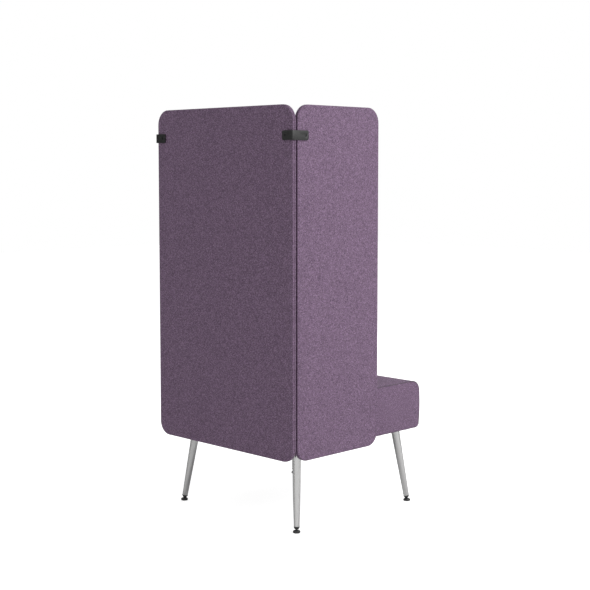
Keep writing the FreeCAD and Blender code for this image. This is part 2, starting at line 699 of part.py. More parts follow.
leg_screws = []
leg_plates = []
leg_plugs = []
corner_blocks = []
leg_notches = []
CORNERS = (("front_right", -1, -1), ("front_left", 1, -1), ("rear_right", -1, 1), ("rear_left", 1, 1))
for corner, side, end in CORNERS:
    foot_x = f"({side}) * {FOOT_SIDE}"
    foot_y = FOOT_REAR if end > 0 else FOOT_FRONT
    # the leg leans inwards along the seat's diagonal, and its pieces share its axis through the glide's pivot
    lean = Rotation(Vector(end, -side, 0), value("leg_splay"))

    def on_axis(item, reach):
        """Puts an item on the leg's axis, this far up it from the glide's pivot."""
        sideways = f"({reach}) * sin(leg_splay) / sqrt(2)"
        x = f"{foot_x} - ({side}) * {sideways}"
        y = f"{foot_y} - ({end}) * {sideways}"
        place(item, x, y, f"pivot_middle + ({reach}) * cos(leg_splay)", lean)
        item.setExpression("Placement.Rotation.Angle", formula("leg_splay"))
        return item

    top_x = f"({foot_x} - ({side}) * {LEG_LEAN})"
    top_y = f"({foot_y} - ({end}) * {LEG_LEAN})"
    outside = taper(f"{corner}_leg_outside", "leg_foot_radius", "leg_top_radius", LEG_LENGTH)
    bore = cylinder(f"{corner}_leg_bore", "leg_bore_radius", f"{LEG_LENGTH} - leg_cap")
    leg = cut(f"{corner}_leg", on_axis(outside, TUBE_LOW), [on_axis(bore, TUBE_LOW)])
    node(leg, leg.Name)
    # plate with a slanted boss that meets the leg's square top
    plate_x = (f"({top_x} - plate_wide / 2)", f"({top_x} + plate_wide / 2)")
    plate_y = (f"({top_y} - plate_wide / 2)", f"({top_y} + plate_wide / 2)")
    plate = box(f"{corner}_plate_blank", plate_x, plate_y, (PLATE_LOW, "seat_low"))
    screw_bores = []
    for number, (step_x, step_y) in enumerate([(-1, -1), (-1, 1), (1, -1), (1, 1)], 1):
        screw = f"{corner}_screw_{number}"
        x = f"{top_x} + ({step_x}) * plate_hole_spread / 2"
        y = f"{top_y} + ({step_y}) * plate_hole_spread / 2"
        spot = (x, y, PLATE_LOW)
        shank = hexagon(screw + "_shank", "wood_screw_radius", "plate_screw_length", *spot)
        head = hexagon(screw + "_head", "wood_screw_head_radius", "wood_screw_head_thick", *spot, "-Z")
        leg_screws.append(fuse(screw, [shank, head]))
        bore_size = ("wood_screw_radius + layer_gap", "plate_screw_length + layer_gap")
        screw_bores.append(hexagon(screw + "_bore", *bore_size, *spot))
    boss = on_axis(rod(f"{corner}_boss", "leg_boss_radius", BOSS_LENGTH), LEG_TOP)
    leg_plates.append(fuse(f"{corner}_plate", [boss, cut(f"{corner}_plate_drilled", plate, screw_bores)]))
    # corner block that takes the plate's screws, and the notch in the dust cover round the plate
    block_x = (f"(-{frame_inner})", f"(block_wide - {frame_inner})")
    if side > 0:
        block_x = (f"({frame_inner} - block_wide)", frame_inner)
    block_y = (f"({RAIL_FRONT} + rail_thick)", f"({RAIL_FRONT} + rail_thick + block_wide)")
    if end > 0:
        block_y = (f"({RAIL_REAR} - rail_thick - block_wide)", f"({RAIL_REAR} - rail_thick)")
    block = box(f"{corner}_block_blank", block_x, block_y, ("seat_low", "(seat_low + block_high)"))
    corner_blocks.append(cut(f"{corner}_block", block, screw_bores))
    leg_notches.append((plate_x, plate_y))
    # threaded plug, glide stem and foot
    plug_tall = "plug_flange_thick + plug_length"
    flange = disc(f"{corner}_plug_flange", "plug_flange_radius", "plug_flange_thick")
    spigot = rod(f"{corner}_plug_spigot", "leg_bore_radius - plug_fit_gap", plug_tall)
    tap = rod(f"{corner}_plug_tap", "stud_radius + stud_gap", plug_tall)
    plug_blank = fuse(f"{corner}_plug_blank", [on_axis(flange, PLUG_LOW), on_axis(spigot, PLUG_LOW)])
    leg_plugs.append(cut(f"{corner}_leg_plug", plug_blank, [on_axis(tap, PLUG_LOW)]))
    pivot = on_axis(rod(f"{corner}_pivot", "pivot_radius", "pivot_high"), "-pivot_high / 2")
    pin = on_axis(rod(f"{corner}_pin", "pin_radius", "nut_low"), "0")
    nut = on_axis(hexagon(f"{corner}_nut", "nut_radius", "nut_high"), "nut_low")
    stud = on_axis(rod(f"{corner}_stud", "stud_radius", "stud_length"), NUT_TOP)
    node(fuse(f"{corner}_glide_stem", [pivot, pin, nut, stud]), f"{corner}_glide_stem")
    spot = (foot_x, foot_y)
    sole = disc(f"{corner}_sole", "foot_radius", "foot_thick", *spot)
    hub = disc(f"{corner}_hub", "hub_radius", "hub_top", *spot)
    socket_low = "(pivot_middle - socket_high / 2)"
    socket = rod(f"{corner}_socket", "socket_radius", "socket_high", *spot, socket_low)
    mouth = rod(f"{corner}_mouth", "socket_lip_radius", "hub_top - pivot_middle", *spot, "pivot_middle")
    foot_body = fuse(f"{corner}_foot_body", [sole, hub])
    node(cut(f"{corner}_glide_foot", foot_body, [socket, mouth]), f"{corner}_glide_foot")
node(group("leg_plates", leg_plates), "leg_plates")
node(group("leg_plugs", leg_plugs), "leg_plugs")
node(group("leg_screws", leg_screws), "leg_screws")
node(group("seat_corner_blocks", corner_blocks), "seat_corner_blocks")

# Dust cover under the seat frame, notched round the leg plates
cover_low = "(seat_low - dust_cover_thick)"
sheet_x = (f"(-{RAIL_HALF} + dust_cover_inset)", f"({RAIL_HALF} - dust_cover_inset)")
sheet_y = (f"({RAIL_FRONT} + dust_cover_inset)", f"({RAIL_REAR} - dust_cover_inset)")
blank = box("dust_cover_blank", sheet_x, sheet_y, (cover_low, "seat_low"))
notches = []
for number, (notch_x, notch_y) in enumerate(leg_notches, 1):
    wide_x = (f"({notch_x[0]} - layer_gap)", f"({notch_x[1]} + layer_gap)")
    wide_y = (f"({notch_y[0]} - layer_gap)", f"({notch_y[1]} + layer_gap)")
    notches.append(box(f"dust_cover_notch_{number}", wide_x, wide_y, (cover_low, "seat_low")))
node(cut("seat_dust_cover", blank, notches), "seat_dust_cover")

# Every object is checked, and then each piece is written
doc.recompute()
for item in doc.Objects:
    if "Invalid" in item.State or "Error" in item.State:
        raise RuntimeError(f"{item.Label} failed: {item.State}")
os.makedirs("parts", exist_ok=True)
for name, item in nodes.items():
    if item.Shape.isNull() or not item.Shape.isValid() or not item.Shape.Solids:
        raise RuntimeError(f"{name} has no valid solid")
    item.Shape.exportStep(f"parts/{name}.step")
limits = FreeCAD.BoundBox()
for item in nodes.values():
    limits.add(item.Shape.BoundBox)
solids = sum(len(item.Shape.Solids) for item in nodes.values())
print(f"{len(nodes)} pieces, {solids} solids, box {limits}")
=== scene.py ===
import json
import math

import bmesh
import bpy
from mathutils import Matrix, Vector, noise
from mathutils.bvhtree import BVHTree
from mathutils.kdtree import KDTree


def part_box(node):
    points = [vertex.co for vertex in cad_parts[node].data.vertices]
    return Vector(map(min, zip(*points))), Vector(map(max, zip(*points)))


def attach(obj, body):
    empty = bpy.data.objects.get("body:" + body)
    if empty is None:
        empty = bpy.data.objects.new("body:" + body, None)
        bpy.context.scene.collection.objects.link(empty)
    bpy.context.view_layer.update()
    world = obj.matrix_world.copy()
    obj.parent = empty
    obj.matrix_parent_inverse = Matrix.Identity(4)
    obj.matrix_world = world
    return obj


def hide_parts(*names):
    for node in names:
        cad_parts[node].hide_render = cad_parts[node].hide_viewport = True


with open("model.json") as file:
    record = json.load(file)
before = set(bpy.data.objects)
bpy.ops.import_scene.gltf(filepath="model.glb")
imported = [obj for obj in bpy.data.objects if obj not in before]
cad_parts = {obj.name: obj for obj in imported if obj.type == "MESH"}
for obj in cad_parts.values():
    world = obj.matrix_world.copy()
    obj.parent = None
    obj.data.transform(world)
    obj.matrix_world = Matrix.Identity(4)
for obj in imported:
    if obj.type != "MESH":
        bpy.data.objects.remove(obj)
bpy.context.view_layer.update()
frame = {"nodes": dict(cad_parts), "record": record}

bl_info = {
    "name": "Acoustic lounge chair",
    "version": (1, 0, 0),
    "blender": (4, 5, 0),
    "location": "3D View > Sidebar > Chair",
    "description": "Upholsters and finishes the packed lounge chair, piece by piece",
    "category": "Object",
}

CORNERS = {"front_right": (-1, -1), "front_left": (1, -1), "rear_right": (-1, 1), "rear_left": (1, 1)}

# Lengths are in metres. First, tolerances for finding parts of a mesh
NEAR, LEVEL_NEAR, NO_LENGTH, NO_MOVE = 1e-5, 2e-5, 1e-6, 1e-9

# Panels: the ring inside the face's rim, and the roundness of the turned edge at the seam
PANEL_INSET, TURNED_ROUND = 0.0015, 0.0007
CORNER_STEPS, RIM_STEPS = 18, 6

# Cushions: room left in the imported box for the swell, rear radii (top, low), and the bands above the
# underside and before the back in which the frame holds the cover
SEAT_SEAM_HIGH = 0.430
SEAT_FRONT_ROOM, SEAT_BELOW = 0.0085, 0.0004
SEAT_REAR_RADII, SEAT_HELD = (0.012, 0.004), (0.006, 0.002)
BACK_FRONT_ROOM, BACK_LOW_ROOM, BACK_TOP_ROOM = 0.0155, 0.001, 0.006
BACK_REAR_RADII, BACK_HELD = (0.012, 0.012), (0.001, 0.004)
BACK_LOW_SHARE = 0.8
STUFFING = {
    "vertex_group_mass": "held", "quality": 4, "mass": 0.3, "tension_stiffness": 12.0,
    "compression_stiffness": 12.0, "shear_stiffness": 4.0, "bending_stiffness": 0.4, "use_pressure": True}
STUFFING_FRAMES = 20

# Seams: the groove, the puckers beside it, the near-black cord of painted shade that lies in it, and the
# stitches
SEAM_CREASE, GROOVE_DEPTH, GROOVE_WIDTH = 0.85, 0.0024, 0.0026
PUCKER_REACH, PUCKER_START, PUCKER_HEIGHT, PUCKER_SCALE = 0.03, 0.006, 0.0013, 45.0
SHADE_CORD_RADIUS, SHADE_CORD_ASIDE, SHADE_CORD_INWARD = 0.0011, 0.0015, 0.0016
STITCH_RADIUS, STITCH_SHARE, STITCH_INSET, STITCH_LIFT = 0.00045, 0.72, 0.005, 0.0002
STITCH_BOW, STITCH_TAPER = 0.0005, 0.35

# Profiles of turned pieces, as (radius, height)
COLLAR = (
    (0.0094, 0.0), (0.0100, 0.0003), (0.0102, 0.0009), (0.0102, 0.0023), (0.0100, 0.0028), (0.0096, 0.003))
PIN = (
    (0.0036, -0.0014), (0.0040, -0.0010), (0.0040, 0.0010), (0.0036, 0.0014), (0.0025, 0.0014),
    (0.0025, 0.0056))
NUT = ((0.0068, 0.0052), (0.0078, 0.0057), (0.0078, 0.0090), (0.0068, 0.0095))
DISC = (
    (0.0104, 0.0), (0.0114, 0.0003), (0.0119, 0.0010), (0.0120, 0.0018), (0.0120, 0.0050),
    (0.0118, 0.0061), (0.0112, 0.0070), (0.0102, 0.0076), (0.0089, 0.0080), (0.0076, 0.0083),
    (0.0070, 0.0086), (0.0067, 0.0090), (0.0062, 0.0093), (0.0056, 0.0095), (0.0037, 0.0095),
    (0.0037, 0.0090), (0.00428, 0.00895), (0.00428, 0.00405))
SINK = ((0.0053, -0.001), (0.0053, 0.0028), (0.0028, 0.0028), (0.0028, 0.008))
SCREW_HEAD = (
    (0.0041, 0.0006), (0.0048, 0.0009), (0.0050, 0.0013), (0.0050, 0.0027), (0.0025, 0.0027),
    (0.0025, 0.0100))
SCREW_SOCKET = ((0.0028, -0.001), (0.0028, 0.0022), (0.0016, 0.0026))

# Glides: the plug's bore, its play in the leg and its length, and the stud's thread
PLUG_BORE, PLUG_PLAY, PLUG_LENGTH = 0.00408, 0.0001, 0.025
THREAD_CREST, THREAD_ROOT, THREAD_PITCH, THREAD_TURNS = 0.004, 0.00345, 0.00125, 20
THREAD_LOW, THREAD_START, STUD_TIP = 0.0094, 0.0100, (0.0030, 0.0355)

# Clips: the steps of a bend, and the roundness of the plate's edges
BEND_STEPS, CLIP_ROUND = 8, 0.0006

# Underside: play round the leg plates, and the staples
NOTCH_PLAY, NOTCH_MARGIN = 0.0004, 0.001
STAPLE_LOW, STAPLE_HIGH, STAPLE_ROUND = (-0.006, -0.0005, -0.0006), (0.006, 0.0005, 0.0), 0.0002
STAPLE_RAIL, STAPLE_MARGIN, STAPLES_EACH_WAY = 0.008, 0.02, 5

# Studio: dark screens that show only in gloss (place, size, glow), and lamps (place, aim, size)
FLAGS = {
    "left_flag": ((2.9, 2.4), (4.6, 3.4), 0.0),
    "right_flag": ((-1.3, -3.6), (2.6, 2.6), 0.12),
}
LAMPS = {
    "key": ((-3.3, -0.7, 2.6), (0, 0, 0.75), 2.2),
    "fill": ((0.6, 3.6, 2.4), (0, 0, 0.75), 2.6),
    "front": ((2.0, -3.8, 2.4), (0, 0, 0.6), 2.8),
}
FLOOR_SIZE, FLOOR_DROP, FLOOR_GLOW = 24.0, 0.0002, 0.72
WHITE = (1.0, 1.0, 1.0)
HEADING = math.radians(-44.98)
SENSOR, FARTHEST = 36.0, 60.0


# Sizes and colours that a user would change
def scalar(name, description, default, **more):
    return bpy.props.FloatProperty(name=name, description=description, default=default, **more)


def length(name, description, default):
    return scalar(name, description, default, min=0.0, unit="LENGTH", precision=4)


def degrees(name, description, default):
    return scalar(name, description, math.radians(default), subtype="ANGLE")


def watts(name, description, default):
    return scalar(name, description, default, subtype="POWER")


def colour(name, description, default):
    return bpy.props.FloatVectorProperty(
        name=name, description=description, default=default, size=3, min=0.0, max=1.0, subtype="COLOR")


class ChairFabric(bpy.types.PropertyGroup):
    """The melange wool that covers the panels and the cushions."""
    ground: colour("Ground", "The wool's main colour", (0.185, 0.118, 0.195))
    dark_yarn: colour("Dark yarn", "The darker fibres in the blend", (0.120, 0.076, 0.127))
    pale_yarn: colour("Pale yarn", "The pale fibres in the blend", (0.30, 0.215, 0.30))
    # the thread colour also paints the shade in the seams, on the cord sunk along them
    thread: colour("Thread", "The sewing thread", (0.050, 0.030, 0.053))
    weave_pitch: length("Weave pitch", "Distance between two yarns", 0.0013)
    stitch_pitch: length("Stitch pitch", "Distance between two stitches", 0.0045)


class ChairPanels(bpy.types.PropertyGroup):
    """The three acoustic panels."""
    top_radius: length("Top corner radius", "Radius of a panel's upper corners", 0.05)
    low_radius: length("Lower corner radius", "Radius of a panel's lower corners", 0.045)
    rim_radius: length("Rim radius", "Roundness of the upholstered rim", 0.0034)
    wall: length("Cover wall", "Thickness of the cover's turned edge", 0.001)


class ChairSeat(bpy.types.PropertyGroup):
    """The seat cushion."""
    cell: length("Cell", "Size of the cloth's cells", 0.0098)
    front_top_radius: length("Front top radius", "Roundness of the upper front edge", 0.033)
    front_low_radius: length("Front lower radius", "Roundness of the lower front edge", 0.011)
    belly: length("Belly", "How far the front swells at its seams", 0.0055)
    swell: length("Swell", "Most that the stuffing pushes the cover out", 0.0085)
    pressure: scalar("Pressure", "Push of the stuffing", 4.0, min=0.0)


class ChairBackCushion(bpy.types.PropertyGroup):
    """The back cushion."""
    cell: length("Cell", "Size of the cloth's cells", 0.0098)
    edge_radius: length("Edge radius", "Roundness of the cushion's front edges", 0.03)
    belly: length("Belly", "How far the front swells at its seams", 0.004)
    swell: length("Swell", "Most that the stuffing pushes the cover out", 0.015)
    pressure: scalar("Pressure", "Push of the stuffing", 4.0, min=0.0)


class ChairLegs(bpy.types.PropertyGroup):
    """The tapered legs and their levelling glides."""
    splay: degrees("Splay", "Lean of a leg", 10)
    top_radius: length("Top radius", "Radius of the leg under the seat", 0.015)
    foot_radius: length("Foot radius", "Radius of the leg at the glide", 0.0097)
    bore_radius: length("Bore radius", "Radius of the leg's bore", 0.0082)
    plate_low: length("Plate underside", "Height of the leg plate's underside", 0.258)
    pivot_high: length("Pivot height", "Height of the glide's pivot", 0.0065)
    plug_low: length("Plug start", "Distance from the pivot to the plug", 0.0098)
    collar: length("Collar", "Thickness of the plug's collar", 0.003)
    metal: colour("Leg metal", "Colour of the satin metal", (0.62, 0.62, 0.617))
    black: colour("Glide black", "Colour of the moulded glides", (0.022, 0.022, 0.023))


class ChairClips(bpy.types.PropertyGroup):
    """The corner clips."""
    thick: length("Thickness", "Thickness of the clip's plate", 0.005)
    corner_radius: length("Corner radius", "Roundness of the clip's ends", 0.005)
    bend_radius: length("Bend radius", "Outer radius of the bend", 0.0035)
    screw_inset: length("Screw inset", "Distance from the clip's end to its screw", 0.013)
    coat: colour("Coat", "Colour of the powder coat", (0.022, 0.0225, 0.022))


class ChairStage(bpy.types.PropertyGroup):
    """The studio round the chair."""
    key_power: watts("Key", "Power of the key light", 92.0)
    fill_power: watts("Fill", "Power of the fill light", 12.0)
    front_power: watts("Front", "Power of the front light", 36.0)
    sky: scalar("Sky", "Strength of the light from all round", 0.5, min=0.0)
    lens: scalar("Lens", "Focal length", 75.3229, subtype="DISTANCE_CAMERA")
    pitch: degrees("Pitch", "Tilt of the camera", 4.5897)
    shift: scalar("Shift", "Upward shift of the view", -0.045)
    eye: bpy.props.FloatVectorProperty(
        name="Eye", description="Place of the camera", default=(-3.0371, 3.0232, 1.1686), size=3,
        subtype="XYZ_LENGTH")


GROUPS = {
    "chair_fabric": ChairFabric,
    "chair_panels": ChairPanels,
    "chair_seat": ChairSeat,
    "chair_back_cushion": ChairBackCushion,
    "chair_legs": ChairLegs,
    "chair_clips": ChairClips,
    "chair_stage": ChairStage,
}


def sizes(group):
    return getattr(bpy.context.scene, group)


# Handling of objects and selections
def clear_selection():
    if bpy.context.object and bpy.context.object.mode != "OBJECT":
        bpy.ops.object.mode_set(mode="OBJECT")
    bpy.ops.object.select_all(action="DESELECT")


def select_only(piece):
    clear_selection()
    piece.select_set(True)
    bpy.context.view_layer.objects.active = piece


def name_piece(name):
    piece = bpy.context.object
    piece.name = name
    piece.data.name = name
    return piece


def settle(piece):
    """Moves the piece's place, turn and scale into its mesh."""
    select_only(piece)
    bpy.ops.object.transform_apply(location=True, rotation=True, scale=True)
    return piece


def edit(piece):
    select_only(piece)
    bpy.ops.object.mode_set(mode="EDIT")


def leave_edit():
    bpy.ops.object.mode_set(mode="OBJECT")


def pick(piece, kind, test):
    """In edit mode, selects just the edges or faces that pass the test."""
    bpy.ops.mesh.select_mode(type={"edges": "EDGE", "faces": "FACE"}[kind])
    bpy.ops.mesh.select_all(action="DESELECT")
    shell = bmesh.from_edit_mesh(piece.data)
    found = [part for part in getattr(shell, kind) if test(part)]
    if not found:
        raise RuntimeError(f"{piece.name}: nothing to select")
    for part in found:
        part.select_set(True)
    shell.select_flush_mode()
    bmesh.update_edit_mesh(piece.data)


def pick_all():
    bpy.ops.mesh.select_all(action="SELECT")


def bevel(offset, segments):
    bpy.ops.mesh.bevel(offset=offset, offset_type="OFFSET", segments=segments, affect="EDGES")


def round_edges(piece, test, radius, steps):
    pick(piece, "edges", test)
    bevel(radius, steps)


def extrude(step):
    bpy.ops.mesh.extrude_region_move(TRANSFORM_OT_translate={"value": step})


def close_up():
    """In edit mode, joins verts that lie together and turns all faces outwards."""
    pick_all()
    bpy.ops.mesh.remove_doubles(threshold=NEAR)
    bpy.ops.mesh.normals_make_consistent(inside=False)


def middle(edge):
    return (edge.verts[0].co + edge.verts[1].co) / 2


def runs_along(edge, axis):
    step = edge.verts[1].co - edge.verts[0].co
    return abs(abs(step[axis]) - step.length) < NO_LENGTH and step.length > NO_LENGTH


def all_at(part, axis, level):
    return all(abs(vert.co[axis] - level) < LEVEL_NEAR for vert in part.verts)


def along_axis(axis, size):
    step = Vector((0, 0, 0))
    step[axis] = size
    return step


def block(name, low, high):
    clear_selection()
    low, high = Vector(low), Vector(high)
    bpy.ops.mesh.primitive_cube_add(size=1, location=(low + high) / 2, scale=high - low)
    return settle(name_piece(name))


def smooth(piece, angle):
    select_only(piece)
    bpy.ops.object.shade_smooth_by_angle(angle=math.radians(angle))


def unwrap_by_sides(piece):
    """Lays the weave's map on each side in real size."""
    edit(piece)
    pick_all()
    bpy.ops.uv.cube_project(cube_size=1.0)
    leave_edit()


def finish_modifier(piece, kind, **settings):
    """Adds a modifier with these settings and applies it."""
    select_only(piece)
    modifier = piece.modifiers.new(kind.lower(), kind)
    for key, setting in settings.items():
        setattr(modifier, key, setting)
    bpy.ops.object.modifier_apply(modifier=modifier.name)


def join(name, pieces):
    select_only(pieces[0])
    for piece in pieces[1:]:
        piece.select_set(True)
    bpy.ops.object.join()
    return name_piece(name)


def copy_piece(piece, name, matrix):
    """A copy with its own mesh, moved by the matrix."""
    copied = piece.copy()
    copied.data = piece.data.copy()
    bpy.context.scene.collection.objects.link(copied)
    copied.data.transform(matrix)
    copied.name = name
    copied.data.name = name
    if matrix.determinant() < 0:
        copied.data.flip_normals()
    return copied


def dress(piece, look, body="root", nodes=()):
    """Gives a finished piece its finish and body, and hides the imported parts that it stands in for."""
    piece.data.materials.clear()
    piece.data.materials.append(finish(look))
    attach(piece, body)
    if nodes:
        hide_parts(*nodes)


# Materials, each made once and then looked up by name
def plug_in(tree, socket, value):
    """Gives a socket a number, a colour, or a link from another node's output."""
    if isinstance(value, bpy.types.NodeSocket):
        tree.links.new(value, socket)
    elif socket.type == "RGBA":
        socket.default_value = (*value, 1.0)
    else:
        socket.default_value = value


def put(tree, kind, settings=None, **sockets):
    """Adds a node. Its sockets go by name, or by number after an underscore."""
    node = tree.nodes.new("ShaderNode" + kind)
    for key, setting in (settings or {}).items():
        setattr(node, key, setting)
    for key, value in sockets.items():
        named = int(key[1:]) if key[1:].isdigit() else key.replace("_", " ")
        plug_in(tree, node.inputs[named], value)
    return node


def feed(tree, shader, **sockets):
    for key, value in sockets.items():
        plug_in(tree, shader.inputs[key.replace("_", " ")], value)


def ramp(tree, factor, *stops):
    """A colour ramp. Each stop is a place, and a colour or a grey."""
    node = put(tree, "ValToRGB", _0=factor)
    while len(node.color_ramp.elements) < len(stops):
        node.color_ramp.elements.new(0.5)
    for element, (place, tint) in zip(node.color_ramp.elements, stops):
        element.position = place
        element.color = (*(tint if hasattr(tint, "__len__") else (tint, tint, tint)), 1.0)
    return node.outputs["Color"]


def mix(tree, factor, first, second, kind="MIX"):
    """Mixes two colours, or the grey of two factors."""
    node = put(tree, "Mix", {"data_type": "RGBA", "blend_type": kind}, _0=factor, _6=first, _7=second)
    return node.outputs[2]


def maths(tree, kind, first, second=0.0):
    return put(tree, "Math", {"operation": kind}, _0=first, _1=second).outputs[0]


def shade(tint, share):
    """A darker or paler tint of a colour."""
    return tuple(min(1.0, channel * share) for channel in tint)


def new_material(name):
    """A material with its tree and shader, and its solid and flat coordinates on the piece."""
    made = bpy.data.materials.new(name)
    made.use_nodes = True
    tree = made.node_tree
    place = put(tree, "TexCoord").outputs
    return made, tree, tree.nodes["Principled BSDF"], place["Object"], place["UV"]


def stretched(tree, vector, scale):
    return put(tree, "Mapping", Vector=vector, Scale=scale).outputs[0]


def bump(tree, height, distance, strength=1.0, below=None):
    sockets = {} if below is None else {"Normal": below}
    return put(tree, "Bump", Height=height, Distance=distance, Strength=strength, **sockets).outputs[0]


def speckle(tree, vector, scale, detail=2.0, rough=0.5):
    return put(tree, "TexNoise", Vector=vector, Scale=scale, Detail=detail, Roughness=rough).outputs["Fac"]


def make_wool(name):
    """Melange wool: a blend of dark, middle and pale fibres in a fine plain weave."""
    fabric = sizes("chair_fabric")
    made, tree, shader, solid, flat = new_material(name)
    # a plain weave, warp over weft
    wobble = mix(tree, 0.0012, flat, put(tree, "TexNoise", Vector=flat, Scale=60.0).outputs["Color"], "ADD")
    parts = put(tree, "SeparateXYZ", Vector=wobble).outputs
    wave = math.pi / fabric.weave_pitch
    across, along = (maths(tree, "SINE", maths(tree, "MULTIPLY", parts[axis], wave)) for axis in (0, 1))
    weave = maths(tree, "MULTIPLY", across, along)
    threads = maths(tree, "ABSOLUTE", weave)
    # each yarn changes colour along its length, as its blend of dark and pale fibres does
    warp = speckle(tree, stretched(tree, flat, (560.0, 150.0, 1.0)), 1.0, 2.0, 0.6)
    weft = speckle(tree, stretched(tree, flat, (140.0, 590.0, 1.0)), 1.0, 2.0, 0.6)
    yarn = mix(tree, maths(tree, "GREATER_THAN", weave, 0.0), warp, weft)
    tint = ramp(tree, yarn, (0.36, fabric.dark_yarn), (0.50, fabric.ground), (0.66, fabric.pale_yarn))
    # clumps of fibre a few yarns wide, dark and pale
    clump = ramp(tree, speckle(tree, solid, 350.0, 0.5), (0.34, 0.66), (0.50, 0.98), (0.66, 1.42))
    tint = mix(tree, 1.0, tint, clump, "MULTIPLY")
    # pale knots
    knots = speckle(tree, solid, 380.0, 0.0)
    knot = maths(tree, "MULTIPLY", maths(tree, "GREATER_THAN", knots, 0.70), 0.75)
    tint = mix(tree, knot, tint, fabric.pale_yarn)
    # a slow drift over the whole cloth
    drift = ramp(tree, speckle(tree, solid, 14.0, 3.0), (0.3, 0.96), (0.7, 1.0))
    tint = mix(tree, 1.0, tint, drift, "MULTIPLY")
    # slack in the cloth, and the height of its yarns and fibres
    fibre = speckle(tree, solid, 2600.0, 2.0, 0.7)
    height = maths(tree, "ADD", maths(tree, "MULTIPLY", threads, 0.55), maths(tree, "MULTIPLY", fibre, 0.45))
    normal = bump(tree, speckle(tree, solid, 9.0, 2.0), 0.004, 0.25)
    normal = bump(tree, height, 0.0006, 0.75, normal)
    # painted shade: the gaps between yarns are darker
    gap_shade = ramp(tree, threads, (0.0, 0.80), (0.6, 1.0))
    tint = mix(tree, 0.6, tint, mix(tree, 1.0, tint, gap_shade, "MULTIPLY"))
    feed(tree, shader, Base_Color=tint, Roughness=0.92, Normal=normal, Specular_IOR_Level=0.18,
         Sheen_Weight=0.10, Sheen_Roughness=0.45, Sheen_Tint=(0.82, 0.70, 0.84))
    return made


def make_coat(name, tint, roughness, grain, depth):
    """Black powder coat with its fine orange peel, or the finer grain of black oxide."""
    made, tree, shader, solid, _ = new_material(name)
    peel = speckle(tree, solid, grain, 2.0, 0.55)
    dust = ramp(tree, speckle(tree, solid, 90.0, 4.0), (0.35, shade(tint, 0.86)), (0.75, shade(tint, 1.25)))
    worn = ramp(tree, speckle(tree, solid, 260.0, 3.0), (0.3, roughness - 0.05), (0.7, roughness + 0.07))
    feed(tree, shader, Base_Color=dust, Roughness=worn, Specular_IOR_Level=0.5,
         Normal=bump(tree, peel, depth, 0.9))
    return made


def make_satin(name, tint, roughness, lines):
    """Satin metal, brushed along the piece on its own map."""
    made, tree, shader, solid, flat = new_material(name)
    grain = speckle(tree, stretched(tree, flat, (lines, 22.0, 1.0)), 1.0, 3.0, 0.6)
    haze = speckle(tree, solid, 30.0, 3.0)
    rough = ramp(tree, mix(tree, 0.5, grain, haze), (0.3, roughness - 0.05), (0.72, roughness + 0.09))
    tone = ramp(tree, grain, (0.3, shade(tint, 0.93)), (0.7, tint))
    feed(tree, shader, Base_Color=tone, Metallic=1.0, Roughness=rough, Normal=bump(tree, grain, 0.00003, 0.5))
    return made


def make_moulded(name, tint):
    """Moulded black nylon, faintly grained and scuffed."""
    made, tree, shader, solid, _ = new_material(name)
    grain = speckle(tree, solid, 2200.0, 2.0)
    scuff = speckle(tree, stretched(tree, solid, (1.0, 1.0, 4.0)), 160.0, 4.0, 0.7)
    tone = ramp(tree, scuff, (0.4, tint), (0.8, shade(tint, 1.9)))
    rough = ramp(tree, scuff, (0.3, 0.40), (0.75, 0.58))
    feed(tree, shader, Base_Color=tone, Roughness=rough, Normal=bump(tree, grain, 0.00006, 0.8))
    return made


def make_ply(name, light, dark):
    """Plywood with grain along the board: birch, or the near-black panel core, whose dark tone is painted shade
    in the panel seams.
    """
    made, tree, shader, solid, _ = new_material(name)
    grain = put(tree, "TexWave", {"bands_direction": "Y"}, Vector=stretched(tree, solid, (6.0, 60.0, 60.0)),
                Scale=1.0, Distortion=7.0, Detail=3.0, Detail_Scale=1.6).outputs["Fac"]
    pores = speckle(tree, stretched(tree, solid, (40.0, 900.0, 900.0)), 1.0, 2.0)
    tone = ramp(tree, mix(tree, 0.4, grain, pores), (0.25, dark), (0.75, light))
    feed(tree, shader, Base_Color=tone, Roughness=0.7, Normal=bump(tree, pores, 0.0001, 0.6))
    return made


def make_fleece(name, tint, scale):
    """Felt, foam and non-woven cloth: a matted, mottled surface."""
    made, tree, shader, solid, _ = new_material(name)
    cells = put(tree, "TexVoronoi", Vector=solid, Scale=scale).outputs["Distance"]
    mat = speckle(tree, solid, scale * 1.7, 4.0, 0.65)
    tone = ramp(tree, mat, (0.3, shade(tint, 0.82)), (0.7, shade(tint, 1.1)))
    feed(tree, shader, Base_Color=tone, Roughness=0.95, Sheen_Weight=0.15,
         Normal=bump(tree, mix(tree, 0.5, cells, mat), 0.0006, 0.7))
    return made


def make_thread(name, tint):
    """Twisted sewing thread."""
    made, tree, shader, solid, _ = new_material(name)
    twist = put(tree, "TexWave", {"bands_direction": "DIAGONAL"}, Vector=solid, Scale=900.0).outputs["Fac"]
    tone = ramp(tree, twist, (0.2, shade(tint, 0.7)), (0.8, shade(tint, 1.3)))
    feed(tree, shader, Base_Color=tone, Roughness=0.6, Sheen_Weight=0.2,
         Normal=bump(tree, twist, 0.0001, 0.6))
    return made


